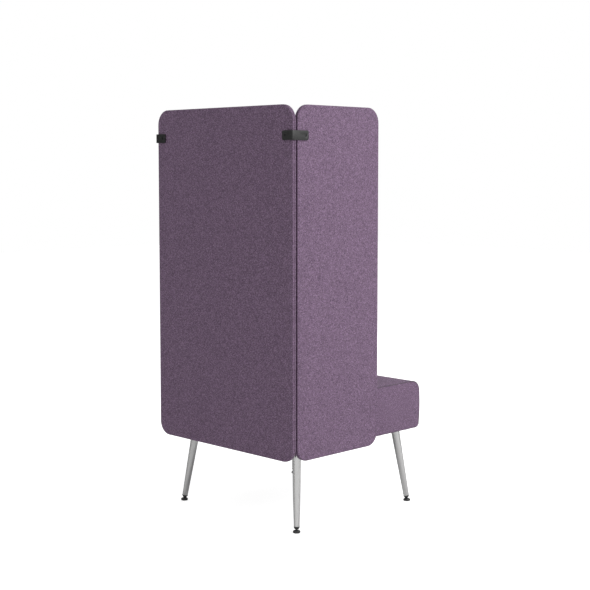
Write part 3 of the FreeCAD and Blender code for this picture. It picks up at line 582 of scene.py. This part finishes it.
def finish(name):
    """The named material, made on its first use."""
    if name in bpy.data.materials:
        return bpy.data.materials[name]
    legs, clips, fabric = sizes("chair_legs"), sizes("chair_clips"), sizes("chair_fabric")
    maker, *looks = {
        "melange wool": (make_wool,),
        # thread for the stitches, and for the cord of painted seam shade
        "sewing thread": (make_thread, fabric.thread),
        "powder coat": (make_coat, clips.coat, 0.46, 1500.0, 0.00008),
        "black oxide": (make_coat, (0.009, 0.009, 0.0095), 0.5, 2600.0, 0.00003),
        "satin metal": (make_satin, legs.metal, 0.17, 900.0),
        "zinc plate": (make_satin, (0.60, 0.61, 0.60), 0.36, 500.0),
        "moulded nylon": (make_moulded, legs.black),
        "birch ply": (make_ply, (0.62, 0.46, 0.29), (0.44, 0.29, 0.16)),
        # near-black panel core: painted shade that shows through the seam gap between the cover's halves
        "dyed board": (make_ply, (0.035, 0.026, 0.026), (0.02, 0.015, 0.015)),
        "pressed felt": (make_fleece, (0.33, 0.33, 0.34), 500.0),
        "seat foam": (make_fleece, (0.78, 0.72, 0.52), 700.0),
        "underside cloth": (make_fleece, (0.03, 0.03, 0.032), 900.0),
    }[name]
    return maker(name, *looks)


SLOT_FINISHES = {
    "panel_fabric": "melange wool",
    "seat_fabric": "melange wool",
    "panel_felt": "pressed felt",
    "foam": "seat foam",
    "plywood": "birch ply",
    "panel_core": "dyed board",
    "dust_cover_cloth": "underside cloth",
    "clip_black": "powder coat",
    "screw_black": "black oxide",
    "leg_metal": "satin metal",
    "black_nylon": "moulded nylon",
    "black_steel": "black oxide",
    "upright_steel": "powder coat",
    "zinc_steel": "zinc plate",
}


# Turned pieces, built upright on the origin
def turned(name, rings, sides, closed=False):
    """Extrudes a ring through (radius, height) steps.

    The last ring joins the first when closed, or else the open ends are capped.
    """
    clear_selection()
    radius, height = rings[0]
    bpy.ops.mesh.primitive_circle_add(
        vertices=sides, radius=radius, fill_type="NOTHING", location=(0, 0, height))
    piece = settle(name_piece(name))
    edit(piece)
    pick_all()
    for wide, high in rings[1:]:
        extrude((0, 0, high - height))
        bpy.ops.transform.resize(value=(wide / radius, wide / radius, 1.0), center_override=(0, 0, high))
        radius, height = wide, high
    pick(piece, "edges", lambda edge: edge.is_boundary)
    if closed:
        bpy.ops.mesh.bridge_edge_loops()
    else:
        bpy.ops.mesh.edge_face_add()
        if any(edge.is_boundary for edge in bmesh.from_edit_mesh(piece.data).edges):
            pick(piece, "edges", lambda edge: edge.is_boundary)
            bpy.ops.mesh.fill_holes(sides=0)
    pick_all()
    bpy.ops.mesh.normals_make_consistent(inside=False)
    leave_edit()
    wrap_map(piece)
    smooth(piece, 35)
    return piece


def wrap_map(piece):
    """A map that goes once round the axis and rises with height in metres."""
    layer = piece.data.uv_layers.active or piece.data.uv_layers.new(name="UVMap")
    for face in piece.data.polygons:
        turns = []
        for loop in face.loop_indices:
            spot = piece.data.vertices[piece.data.loops[loop].vertex_index].co
            turns.append([loop, math.atan2(spot.y, spot.x) / (2 * math.pi), spot.z])
        high = max(turn[1] for turn in turns)
        for loop, turn, rise in turns:
            layer.data[loop].uv = (turn + 1 if high - turn > 0.5 else turn, rise)


def leg_matrix(corner, reach):
    """Stands a turned piece on a leg's axis, this far up it from the glide's pivot."""
    side, end = CORNERS[corner]
    legs = sizes("chair_legs")
    low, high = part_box(f"{corner}_glide_foot")
    lean = Matrix.Rotation(legs.splay, 4, Vector((end, -side, 0)))
    pivot = Vector(((low.x + high.x) / 2, (low.y + high.y) / 2, legs.pivot_high))
    return Matrix.Translation(pivot) @ lean @ Matrix.Translation((0, 0, reach))


# Upholstery
def build_tray(name, node, axis, way):
    """One half of a panel's cover: a shallow tray with round corners and a rolled rim."""
    panels = sizes("chair_panels")
    low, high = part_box(node)
    centre = (low + high) / 2
    tray = block(name, low, high)
    edit(tray)
    for level, radius in ((high.z, panels.top_radius), (low.z, panels.low_radius)):
        round_edges(tray, lambda edge: runs_along(edge, axis) and abs(middle(edge).z - level) < NEAR,
                    radius, CORNER_STEPS)
    outer, inner = (high[axis], low[axis]) if way > 0 else (low[axis], high[axis])
    round_edges(tray, lambda edge: all_at(edge, axis, outer), panels.rim_radius, RIM_STEPS)
    pick(tray, "faces", lambda face: all_at(face, axis, outer))
    bpy.ops.mesh.inset(thickness=PANEL_INSET)
    # the turned edge that meets the other half at the seam
    pick(tray, "faces", lambda face: all_at(face, axis, inner))
    bpy.ops.mesh.inset(thickness=panels.wall)
    extrude(along_axis(axis, (abs(outer - inner) - panels.wall) * way))

    def looks_out(face):
        return (not all_at(face, axis, inner) and abs(face.normal[axis]) < 0.1 and face.calc_area() > 0
                and (face.calc_center_median() - centre).dot(face.normal) > 0)

    round_edges(tray, lambda edge: all_at(edge, axis, inner) and len(edge.link_faces) == 2
                and any(looks_out(face) for face in edge.link_faces), TURNED_ROUND, 2)
    leave_edit()
    smooth(tray, 40)
    unwrap_by_sides(tray)
    return tray


def lattice(name, low, high, cell):
    """A block whose sides are ruled into even cells."""
    piece = block(name, low, high)
    edit(piece)
    for axis in range(3):
        count = max(2, round((high[axis] - low[axis]) / cell))
        pick(piece, "edges", lambda edge: runs_along(edge, axis))
        bpy.ops.mesh.subdivide(number_cuts=count - 1)
    leave_edit()
    return piece


def round_profile(spot, low, high, radii, belly):
    """Rounds a cushion's side profile, and lets its front belly out.

    The radii are front top, front low, rear top and rear low.
    """
    for (y_edge, y_way), (z_edge, z_way), radius in (
            ((low.y, -1), (high.z, 1), radii[0]), ((low.y, -1), (low.z, -1), radii[1]),
            ((high.y, 1), (high.z, 1), radii[2]), ((high.y, 1), (low.z, -1), radii[3])):
        along = (spot.y - (y_edge - y_way * radius)) * y_way
        up = (spot.z - (z_edge - z_way * radius)) * z_way
        if along > 0 and up > 0:
            shrink = max(along, up) / math.hypot(along, up)
            spot.y = y_edge - y_way * radius + along * shrink * y_way
            spot.z = z_edge - z_way * radius + up * shrink * z_way
    height = 2 * (spot.z - low.z) / (high.z - low.z) - 1
    depth = min(1.0, max(0.0, (high.y - spot.y) / (high.y - low.y)))
    spot.y -= belly * (1 - height * height) * depth ** 2
    return spot


def inflate(piece, held, pressure, cap):
    """Fills the cover with cloth simulation: held verts stay, and the rest swell by the cap at most."""
    rest = [vert.co.copy() for vert in piece.data.vertices]
    group = piece.vertex_groups.new(name="held")
    group.add(held, 1.0, "REPLACE")
    select_only(piece)
    cloth = piece.modifiers.new("stuffing", "CLOTH")
    for key, setting in STUFFING.items():
        setattr(cloth.settings, key, setting)
    cloth.settings.uniform_pressure_force = pressure
    cloth.settings.effector_weights.gravity = 0.0
    cloth.collision_settings.use_collision = False
    cloth.point_cache.frame_start = 1
    cloth.point_cache.frame_end = STUFFING_FRAMES
    for step in range(STUFFING_FRAMES):
        bpy.context.scene.frame_set(step + 1)
    bpy.ops.object.modifier_apply(modifier="stuffing")
    bpy.context.scene.frame_set(1)
    for vert, start in zip(piece.data.vertices, rest):
        move = vert.co - start
        if move.length > NO_MOVE:
            # a soft cap, so that the form stays round where it is reached
            vert.co = start + move.normalized() * cap * math.tanh(move.length / cap)
    piece.vertex_groups.clear()


def boundary_of_sides(piece, half):
    """The verts where the side panels meet the cover that runs over the cushion."""
    on_side = {"in": set(), "out": set()}
    for face in piece.data.polygons:
        flat = all(abs(abs(piece.data.vertices[index].co.x) - half) < NEAR for index in face.vertices)
        on_side["in" if flat else "out"].update(face.vertices)
    return on_side["in"] & on_side["out"]


def order_round(piece, verts, centre):
    """The spots of a rim in order, by their angle round the cushion's middle."""
    spots = [piece.data.vertices[index].co.copy() for index in verts]
    return sorted(spots, key=lambda spot: math.atan2(spot.z - centre.z, spot.y - centre.y))


def sew(name, piece, path, inset):
    """A row of stitches beside a seam, each laid on the cover."""
    pitch = sizes("chair_fabric").stitch_pitch
    surface = BVHTree.FromObject(piece, bpy.context.evaluated_depsgraph_get())
    clear_selection()
    bpy.ops.mesh.primitive_cylinder_add(vertices=6, radius=STITCH_RADIUS, depth=pitch * STITCH_SHARE)
    stitch = settle(name_piece(name + "_stitch"))
    for vert in stitch.data.vertices:
        bow = (vert.co.z / (pitch * STITCH_SHARE / 2)) ** 2
        vert.co.x -= STITCH_BOW * bow
        vert.co.y *= 1 - STITCH_TAPER * bow
    shapes = []
    walked, target = 0.0, pitch
    for start, finish_spot in zip(path, path[1:]):
        step = finish_spot - start
        while walked + step.length >= target:
            spot = start + step * ((target - walked) / max(step.length, NO_MOVE)) + inset
            near, normal, _, _ = surface.find_nearest(spot)
            if near is not None:
                along = (step - normal * step.dot(normal)).normalized()
                across = along.cross(normal).normalized()
                turn = Matrix((normal, across, along)).transposed().to_4x4()
                shapes.append(Matrix.Translation(near + normal * STITCH_LIFT) @ turn)
            target += pitch
        walked += step.length
    copies = [copy_piece(stitch, f"{name}_{number}", matrix) for number, matrix in enumerate(shapes)]
    bpy.data.objects.remove(stitch)
    row = join(name, copies)
    smooth(row, 60)
    return row


def build_cushion(name, low, high, made_to, radii, held_bands):
    """A boxed cushion: a cover over its top and front, and a panel sewn in at each side.

    It comes with the lines of its two seams.
    """
    piece = lattice(name, low, high, made_to.cell)
    for vert in piece.data.vertices:
        vert.co = round_profile(vert.co.copy(), low, high, radii, made_to.belly)
    seams = boundary_of_sides(piece, high.x)
    edit(piece)
    pick(piece, "edges", lambda edge: edge.verts[0].index in seams and edge.verts[1].index in seams)
    bpy.ops.transform.edge_crease(value=SEAM_CREASE)
    leave_edit()
    above, before = held_bands
    held = [vert.index for vert in piece.data.vertices
            if vert.index in seams or vert.co.z < low.z + above or vert.co.y > high.y - before]
    inflate(piece, held, made_to.pressure, made_to.swell)
    lines = [order_round(piece, [index for index in seams if piece.data.vertices[index].co.x * side > 0],
                         (low + high) / 2) for side in (-1, 1)]
    finish_modifier(piece, "SUBSURF", levels=1, render_levels=1)
    pull_in(piece, lines)
    smooth(piece, 60)
    unwrap_by_sides(piece)
    return piece, lines


def pull_in(piece, lines):
    """Draws the cover in along its seams, with small puckers beside them."""
    spots = []
    for line in lines:
        for start, finish_spot in zip(line, line[1:] + line[:1]):
            spots += [start.lerp(finish_spot, share / 4) for share in range(4)]
    tree = KDTree(len(spots))
    for index, spot in enumerate(spots):
        tree.insert(spot, index)
    tree.balance()
    moves = []
    for vert in piece.data.vertices:
        near, _, distance = tree.find(vert.co)
        shift = 0.0
        if distance < PUCKER_REACH:
            fade = (1 - distance / PUCKER_REACH) ** 2 * min(1.0, distance / PUCKER_START)
            pucker = noise.noise(near * PUCKER_SCALE) * PUCKER_HEIGHT * fade
            shift = pucker - GROOVE_DEPTH * math.exp(-(distance / GROOVE_WIDTH) ** 2)
        moves.append(vert.normal * shift)
    for vert, move in zip(piece.data.vertices, moves):
        vert.co += move


def top_and_front(line, low, high):
    """The part of a rim from the rear top corner, over the top and down the front."""
    kept = [spot for spot in line
            if spot.z > low.z + 0.008 and (spot.y < high.y - 0.01 or spot.z > high.z - 0.002)]
    return sorted(kept, key=lambda spot: -math.atan2(spot.z - low.z + 0.001, high.y - 0.001 - spot.y))


def sunk(spot, low, high):
    """The step from a seam's line into its groove, towards the cushion's middle."""
    inward = Vector((0, (low.y + high.y) / 2 - spot.y, (low.z + high.z) / 2 - spot.z))
    return Vector((-math.copysign(SHADE_CORD_ASIDE, spot.x), 0, 0)) + inward.normalized() * SHADE_CORD_INWARD


def lay_shade_cord(name, paths, low, high):
    """Painted seam shade: a thin near-black cord that lies sunk along the seam and darkens it."""
    shade_cords = []
    for number, path in enumerate(paths):
        curve = bpy.data.curves.new(f"{name}_{number}", "CURVE")
        curve.dimensions = "3D"
        curve.bevel_depth = SHADE_CORD_RADIUS
        curve.bevel_resolution = 1
        curve.use_fill_caps = True
        spline = curve.splines.new("POLY")
        spline.points.add(len(path) - 1)
        for point, spot in zip(spline.points, path):
            point.co = (*(spot + sunk(spot, low, high)), 1.0)
        cord = bpy.data.objects.new(curve.name, curve)
        bpy.context.scene.collection.objects.link(cord)
        select_only(cord)
        bpy.ops.object.convert(target="MESH")
        shade_cords.append(cord)
    shade_cord = join(name, shade_cords)
    smooth(shade_cord, 60)
    return shade_cord


def trim_seams(name, cushion, lines, low, high):
    """Lays the near-black cord of painted seam shade and a row of stitches along both seams of a cushion."""
    paths = [top_and_front(line, low, high) for line in lines]
    # a near-black cord in each seam paints the seam's shade
    shade_cord = lay_shade_cord(f"{name}_seam_fold", paths, low, high)
    dress(shade_cord, "sewing thread")
    rows = [sew(f"{name}_stitches_{side + 1}", cushion, path, Vector((-side * STITCH_INSET, 0, 0)))
            for path, side in zip(paths, (-1, 1))]
    dress(join(f"{name}_stitches", rows), "sewing thread")


# Operators, one for each piece or group of like pieces
class CHAIR_OT_carried_pieces(bpy.types.Operator):
    """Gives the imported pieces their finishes."""
    bl_idname = "chair.carried_pieces"
    bl_label = "Finish packed pieces"

    def execute(self, context):
        for subpart in frame["record"]["subparts"]:
            node = frame["nodes"][subpart["node"]]
            made = finish(SLOT_FINISHES[subpart["material_slot"]])
            if not node.material_slots:
                node.data.materials.append(made)
            for slot in node.material_slots:
                slot.material = made
        return {"FINISHED"}


class CHAIR_OT_panels(bpy.types.Operator):
    """Covers the three acoustic panels."""
    bl_idname = "chair.panels"
    bl_label = "Cover the panels"

    def execute(self, context):
        for panel, axis, outward in (("back", 1, 1), ("right", 0, -1), ("left", 0, 1)):
            for layer, way in (("outer", outward), ("inner", -outward)):
                node = f"{panel}_panel_{layer}_cover"
                tray = build_tray(f"{panel}_panel_{layer}_fabric", node, axis, way)
                dress(tray, "melange wool", nodes=[node])
        return {"FINISHED"}


class CHAIR_OT_seat(bpy.types.Operator):
    """Stuffs and sews the seat cushion."""
    bl_idname = "chair.seat"
    bl_label = "Make the seat"

    def execute(self, context):
        seat = sizes("chair_seat")
        low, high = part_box("seat_right_cover")[0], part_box("seat_left_cover")[1]
        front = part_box("seat_top_cover")[0].y
        low = Vector((low.x, front + SEAT_FRONT_ROOM, low.z - SEAT_BELOW))
        high = Vector((high.x, high.y, SEAT_SEAM_HIGH))
        radii = (seat.front_top_radius, seat.front_low_radius, *SEAT_REAR_RADII)
        cushion, lines = build_cushion("seat_cushion", low, high, seat, radii, SEAT_HELD)
        dress(cushion, "melange wool",
              nodes=["seat_top_cover", "seat_left_cover", "seat_right_cover", "seat_foam"])
        trim_seams("seat", cushion, lines, low, high)
        return {"FINISHED"}


class CHAIR_OT_back_cushion(bpy.types.Operator):
    """Stuffs and sews the back cushion."""
    bl_idname = "chair.back_cushion"
    bl_label = "Make the back cushion"

    def execute(self, context):
        back = sizes("chair_back_cushion")
        low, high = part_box("back_cushion_right_cover")[0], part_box("back_cushion_left_cover")[1]
        front_low, front_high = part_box("back_cushion_front_cover")
        low = Vector((low.x, front_low.y + BACK_FRONT_ROOM, front_low.z + BACK_LOW_ROOM))
        high = Vector((high.x, high.y, front_high.z - BACK_TOP_ROOM))
        radii = (back.edge_radius, back.edge_radius * BACK_LOW_SHARE, *BACK_REAR_RADII)
        cushion, lines = build_cushion("back_cushion", low, high, back, radii, BACK_HELD)
        dress(cushion, "melange wool",
              nodes=["back_cushion_front_cover", "back_cushion_left_cover", "back_cushion_right_cover",
                     "back_cushion_foam"])
        trim_seams("back_cushion", cushion, lines, low, high)
        return {"FINISHED"}


def turn_tube(legs):
    """The leg's tapered tube, from the plug's collar up to the leg plate."""
    low = legs.plug_low + legs.collar
    top = (legs.plate_low - legs.pivot_high - legs.top_radius * math.sin(legs.splay)) / math.cos(legs.splay)
    tall = top - low
    bore, foot, head = legs.bore_radius, legs.foot_radius, legs.top_radius
    return turned("leg_tube", [
        (bore, tall - 0.003), (bore, 0.0004), (bore + 0.0003, 0.0), (foot - 0.0004, 0.0), (foot, 0.0005),
        *[(foot + (head - foot) * share / 8, 0.0005 + (tall - 0.001) * share / 8) for share in range(1, 9)],
        (head - 0.0006, tall)], 72)


def turn_plug(legs):
    """The plug that closes a leg, with its collar below and the stud's bore through it."""
    spigot = legs.bore_radius - PLUG_PLAY
    return turned("leg_plug", [
        (PLUG_BORE, 0.0), *COLLAR, (spigot, 0.003), (spigot, PLUG_LENGTH - 0.0005),
        (spigot - 0.0005, PLUG_LENGTH), (PLUG_BORE, PLUG_LENGTH)], 56, closed=True)


def turn_stem():
    """The stem: headed pin, hexagon and threaded stud."""
    pin = turned("stem_pin", PIN, 32)
    nut = turned("stem_nut", NUT, 6)
    for face in nut.data.polygons:
        face.use_smooth = False
    thread = [(THREAD_ROOT, THREAD_LOW)]
    for turn in range(THREAD_TURNS):
        thread += [(THREAD_CREST, THREAD_START + turn * THREAD_PITCH),
                   (THREAD_ROOT, THREAD_START + (turn + 0.5) * THREAD_PITCH)]
    return join("glide_stem", [pin, nut, turned("stem_stud", [*thread, STUD_TIP], 28)])


class CHAIR_OT_legs(bpy.types.Operator):
    """Turns the legs, their plugs and the levelling glides."""
    bl_idname = "chair.legs"
    bl_label = "Make the legs and glides"

    def execute(self, context):
        legs = sizes("chair_legs")
        tube, plug, stem, disc = turn_tube(legs), turn_plug(legs), turn_stem(), turned("glide_disc", DISC, 56)
        plugs = []
        for corner in CORNERS:
            leg = copy_piece(tube, f"{corner}_leg_tube", leg_matrix(corner, legs.plug_low + legs.collar))
            dress(leg, "satin metal", nodes=[f"{corner}_leg"])
            plugs.append(copy_piece(plug, f"{corner}_plug", leg_matrix(corner, legs.plug_low)))
            piece = copy_piece(stem, f"{corner}_stem", leg_matrix(corner, 0.0))
            dress(piece, "black oxide", f"{corner}_glide_stem", [f"{corner}_glide_stem"])
            low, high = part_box(f"{corner}_glide_foot")
            centre = (low + high) / 2
            foot = copy_piece(disc, f"{corner}_disc", Matrix.Translation((centre.x, centre.y, 0)))
            dress(foot, "moulded nylon", f"{corner}_glide_foot", [f"{corner}_glide_foot"])
        dress(join("leg_collars", plugs), "moulded nylon", nodes=["leg_plugs"])
        for pattern in (tube, plug, stem, disc):
            bpy.data.objects.remove(pattern)
        return {"FINISHED"}


class CHAIR_OT_clips(bpy.types.Operator):
    """Bends and drills the corner clips and sinks their screws."""
    bl_idname = "chair.clips"
    bl_label = "Make the clips"

    def execute(self, context):
        clips = sizes("chair_clips")
        low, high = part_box("right_clip")
        clip = self.bend(clips, low, high)
        height = (low.z + high.z) / 2
        rear, side = (Matrix.Translation(place) @ Matrix.Rotation(math.pi / 2, 4, axis) for place, axis in (
            ((high.x - clips.screw_inset, high.y, height), "X"),
            ((low.x, low.y + clips.screw_inset, height), "Y")))
        sink = turned("sink", SINK, 40)
        for number, matrix in enumerate((rear, side)):
            cut(clip, copy_piece(sink, f"cutter_{number}", matrix))
        bpy.data.objects.remove(sink)
        finish_modifier(clip, "BEVEL", width=CLIP_ROUND, segments=2, limit_method="ANGLE",
                        angle_limit=math.radians(50))
        smooth(clip, 40)
        # a round head with a hexagon socket, drawn from its top downwards
        head = turned("head", SCREW_HEAD, 36)
        cut(head, turned("socket", SCREW_SOCKET, 6))
        smooth(head, 35)
        mirror = Matrix.Scale(-1, 4, Vector((1, 0, 0)))
        other = copy_piece(clip, "left_corner_clip", mirror)
        dress(clip, "powder coat", nodes=["right_clip"])
        dress(other, "powder coat", nodes=["left_clip"])
        screws = [copy_piece(head, f"screw_{number}", matrix)
                  for number, matrix in enumerate((rear, side, mirror @ rear, mirror @ side))]
        bpy.data.objects.remove(head)
        dress(join("clip_screw_heads", screws), "black oxide", nodes=["clip_screws"])
        return {"FINISHED"}

    @staticmethod
    def bend(clips, low, high):
        """The right clip, before it is drilled: a plate along the back with a leg bent round to the side."""
        clip = block("right_corner_clip", (low.x, high.y - clips.thick, low.z), high)
        edit(clip)
        pick_all()
        bpy.ops.mesh.bisect(plane_co=(low.x + clips.thick, 0, 0), plane_no=(1, 0, 0))
        pick(clip, "faces",
             lambda face: face.normal.y < -0.9 and face.calc_center_median().x < low.x + clips.thick)
        extrude((0, low.y - high.y + clips.thick, 0))
        corner = Vector((low.x, high.y))
        for radius, test in (
                (clips.corner_radius, lambda edge: runs_along(edge, 1) and abs(middle(edge).x - high.x) < NEAR),
                (clips.corner_radius, lambda edge: runs_along(edge, 0) and abs(middle(edge).y - low.y) < NEAR),
                (clips.bend_radius,
                 lambda edge: runs_along(edge, 2) and (middle(edge).xy - corner).length < 10 * NEAR)):
            round_edges(clip, test, radius, BEND_STEPS)
        close_up()
        leave_edit()
        return clip


def cut(piece, cutter):
    """Takes the cutter's shape out of the piece, and removes the cutter."""
    finish_modifier(piece, "BOOLEAN", operation="DIFFERENCE", object=cutter, solver="EXACT")
    bpy.data.objects.remove(cutter)


class CHAIR_OT_underside(bpy.types.Operator):
    """Lays and staples the dust cover under the seat."""
    bl_idname = "chair.underside"
    bl_label = "Make the underside"

    def execute(self, context):
        low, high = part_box("seat_dust_cover")
        cover = block("dust_cover_sheet", low, high)
        plates = leg_plate_boxes()
        edit(cover)
        for axis in (0, 1):
            for level in sorted({round(level, 5) for near, far in plates
                                 for level in (near[axis] - NOTCH_PLAY, far[axis] + NOTCH_PLAY)}):
                pick_all()
                bpy.ops.mesh.bisect(plane_co=along_axis(axis, level), plane_no=along_axis(axis, 1))
        pick(cover, "faces", lambda face: abs(face.normal.z) > 0.9
             and any(over_plate(face.calc_center_median(), plate) for plate in plates))
        bpy.ops.mesh.delete(type="FACE")
        pick(cover, "edges", lambda edge: edge.is_boundary and abs(middle(edge).z - low.z) < NEAR)
        extrude((0, 0, high.z - low.z))
        close_up()
        leave_edit()
        unwrap_by_sides(cover)
        dress(cover, "underside cloth", nodes=["seat_dust_cover"])
        self.staple_round(low, high)
        return {"FINISHED"}

    @staticmethod
    def staple_round(low, high):
        """Staples round the edge of the cover, along all four rails."""
        staple = block("staple", STAPLE_LOW, STAPLE_HIGH)
        edit(staple)
        pick_all()
        bevel(STAPLE_ROUND, 1)
        leave_edit()
        steps = range(-STAPLES_EACH_WAY, STAPLES_EACH_WAY + 1)
        places = [(step * (high.x - STAPLE_MARGIN) / (STAPLES_EACH_WAY + 0.5), y, 0.0)
                  for step in steps for y in (low.y + STAPLE_RAIL, high.y - STAPLE_RAIL)]
        middle_y, run_y = (low.y + high.y) / 2, high.y - low.y - 2 * STAPLE_MARGIN
        places += [(x, middle_y + step * run_y / (2 * STAPLES_EACH_WAY + 1), math.pi / 2)
                   for step in steps for x in (low.x + STAPLE_RAIL, high.x - STAPLE_RAIL)]
        staples = [copy_piece(staple, f"staple_{number}",
                              Matrix.Translation((x, y, low.z)) @ Matrix.Rotation(turn, 4, "Z"))
                   for number, (x, y, turn) in enumerate(places)]
        bpy.data.objects.remove(staple)
        dress(join("dust_cover_staples", staples), "zinc plate")


def leg_plate_boxes():
    """The square that each leg plate takes up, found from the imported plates."""
    plates = frame["nodes"]["leg_plates"].data
    found = []
    for side, end in CORNERS.values():
        spots = [vert.co for vert in plates.vertices if vert.co.x * side > 0 and vert.co.y * end > 0]
        found.append([[end_of(spot[axis] for spot in spots) for axis in (0, 1)] for end_of in (min, max)])
    return found


def over_plate(spot, plate):
    """Whether a spot lies in the plate's square, seen from above."""
    low, high = plate
    return all(low[axis] - NOTCH_MARGIN < spot[axis] < high[axis] + NOTCH_MARGIN for axis in (0, 1))


class CHAIR_OT_stage(bpy.types.Operator):
    """Sets the floor, the lamps and the camera."""
    bl_idname = "chair.stage"
    bl_label = "Set the stage"

    def execute(self, context):
        stage = sizes("chair_stage")
        scene = context.scene
        scene.view_settings.view_transform = "Standard"
        clear_selection()
        bpy.ops.mesh.primitive_plane_add(size=FLOOR_SIZE, location=(0, 0, -FLOOR_DROP))
        floor = settle(name_piece("studio_floor"))
        floor.data.materials.append(make_floor())
        scene.world = make_sky(stage.sky)
        for name, (place, size, level) in FLAGS.items():
            add_flag(name, place, size, level)
        for name, (place, aim, size) in LAMPS.items():
            add_lamp(name, place, aim, size, getattr(stage, name + "_power"))
        lens = bpy.data.cameras.new("camera")
        camera = bpy.data.objects.new("camera", lens)
        scene.collection.objects.link(camera)
        lens.sensor_width = SENSOR
        lens.lens = stage.lens
        lens.shift_y = stage.shift
        lens.clip_end = FARTHEST
        camera.location = stage.eye
        level = math.cos(stage.pitch)
        ahead = Vector((math.cos(HEADING) * level, math.sin(HEADING) * level, -math.sin(stage.pitch)))
        camera.rotation_euler = ahead.to_track_quat("-Z", "Y").to_euler()
        scene.camera = camera
        return {"FINISHED"}


def add_flag(name, place, size, level):
    """An upright screen beside the camera, which shows in glossy pieces and nowhere else."""
    bpy.ops.mesh.primitive_plane_add(size=1.0, location=(*place, size[1] / 2))
    flag = name_piece(name)
    flag.scale = (size[0], size[1], 1.0)
    flag.rotation_euler = (math.pi / 2, 0, math.atan2(place[1], place[0]) + math.pi / 2)
    settle(flag)
    made = bpy.data.materials.new(name)
    made.use_nodes = True
    tree = made.node_tree
    tree.nodes.clear()
    glow = put(tree, "Emission", Color=WHITE, Strength=level)
    put(tree, "OutputMaterial", Surface=glow.outputs[0])
    flag.data.materials.append(made)
    for ray in ("camera", "diffuse", "shadow", "transmission", "volume_scatter"):
        setattr(flag, "visible_" + ray, False)


def add_lamp(name, place, aim, size, power):
    lamp = bpy.data.lights.new(name, "AREA")
    lamp.size = size
    lamp.energy = power
    holder = bpy.data.objects.new(name, lamp)
    bpy.context.scene.collection.objects.link(holder)
    holder.location = place
    holder.rotation_euler = (Vector(aim) - Vector(place)).to_track_quat("-Z", "Y").to_euler()


def make_sky(strength):
    """A world that shows as white and lights more softly."""
    world = bpy.data.worlds.new("studio")
    world.use_nodes = True
    tree = world.node_tree
    tree.nodes.clear()
    seen = put(tree, "LightPath").outputs
    shown = maths(tree, "MAXIMUM", maths(tree, "MAXIMUM", seen["Is Camera Ray"], seen["Is Glossy Ray"]),
                  seen["Is Transmission Ray"])
    lit = put(tree, "Background", Color=WHITE, Strength=strength)
    white = put(tree, "Background", Color=WHITE, Strength=1.0)
    blend = put(tree, "MixShader", _0=shown, _1=lit.outputs[0], _2=white.outputs[0])
    put(tree, "OutputWorld", Surface=blend.outputs[0])
    return world


def make_floor():
    """A white studio floor: it shows as white, with only the chair's shadow on it."""
    made, tree, shader, _, _ = new_material("studio floor")
    seen = put(tree, "LightPath").outputs
    shown = maths(tree, "MAXIMUM", seen["Is Camera Ray"], seen["Is Transmission Ray"])
    feed(tree, shader, Base_Color=(0.80, 0.80, 0.80), Roughness=0.9, Specular_IOR_Level=0.1)
    glow = put(tree, "Emission", Color=WHITE, Strength=FLOOR_GLOW)
    both = put(tree, "AddShader", _0=shader.outputs[0], _1=glow.outputs[0])
    blend = put(tree, "MixShader", _0=shown, _1=shader.outputs[0], _2=both.outputs[0])
    # the chair shows through the floor from below
    below = put(tree, "NewGeometry").outputs["Backfacing"]
    hidden = maths(tree, "MULTIPLY", below, seen["Is Camera Ray"])
    clear = put(tree, "BsdfTransparent")
    whole = put(tree, "MixShader", _0=hidden, _1=blend.outputs[0], _2=clear.outputs[0])
    tree.links.new(whole.outputs[0], tree.nodes["Material Output"].inputs["Surface"])
    return made


OPERATORS = (CHAIR_OT_stage, CHAIR_OT_carried_pieces, CHAIR_OT_panels, CHAIR_OT_seat, CHAIR_OT_back_cushion,
             CHAIR_OT_legs, CHAIR_OT_clips, CHAIR_OT_underside)


class CHAIR_PT_pieces(bpy.types.Panel):
    """Lists the chair's pieces and their sizes."""
    bl_idname = "CHAIR_PT_pieces"
    bl_label = "Lounge chair"
    bl_space_type = "VIEW_3D"
    bl_region_type = "UI"
    bl_category = "Chair"

    def draw(self, context):
        for operator in OPERATORS:
            self.layout.operator(operator.bl_idname)
        for group in GROUPS:
            held, box = getattr(context.scene, group), self.layout.box()
            for key in held.bl_rna.properties.keys():
                if key not in ("rna_type", "name"):
                    box.prop(held, key)


CLASSES = (*GROUPS.values(), *OPERATORS, CHAIR_PT_pieces)


def register():
    for made in CLASSES:
        bpy.utils.register_class(made)
    for name, group in GROUPS.items():
        setattr(bpy.types.Scene, name, bpy.props.PointerProperty(type=group))


def unregister():
    for name in GROUPS:
        delattr(bpy.types.Scene, name)
    for made in reversed(CLASSES):
        bpy.utils.unregister_class(made)


def main():
    register()
    for operator in OPERATORS:
        group, name = operator.bl_idname.split(".")
        getattr(getattr(bpy.ops, group), name)()
    clear_selection()


if __name__ == "__main__":
    main()
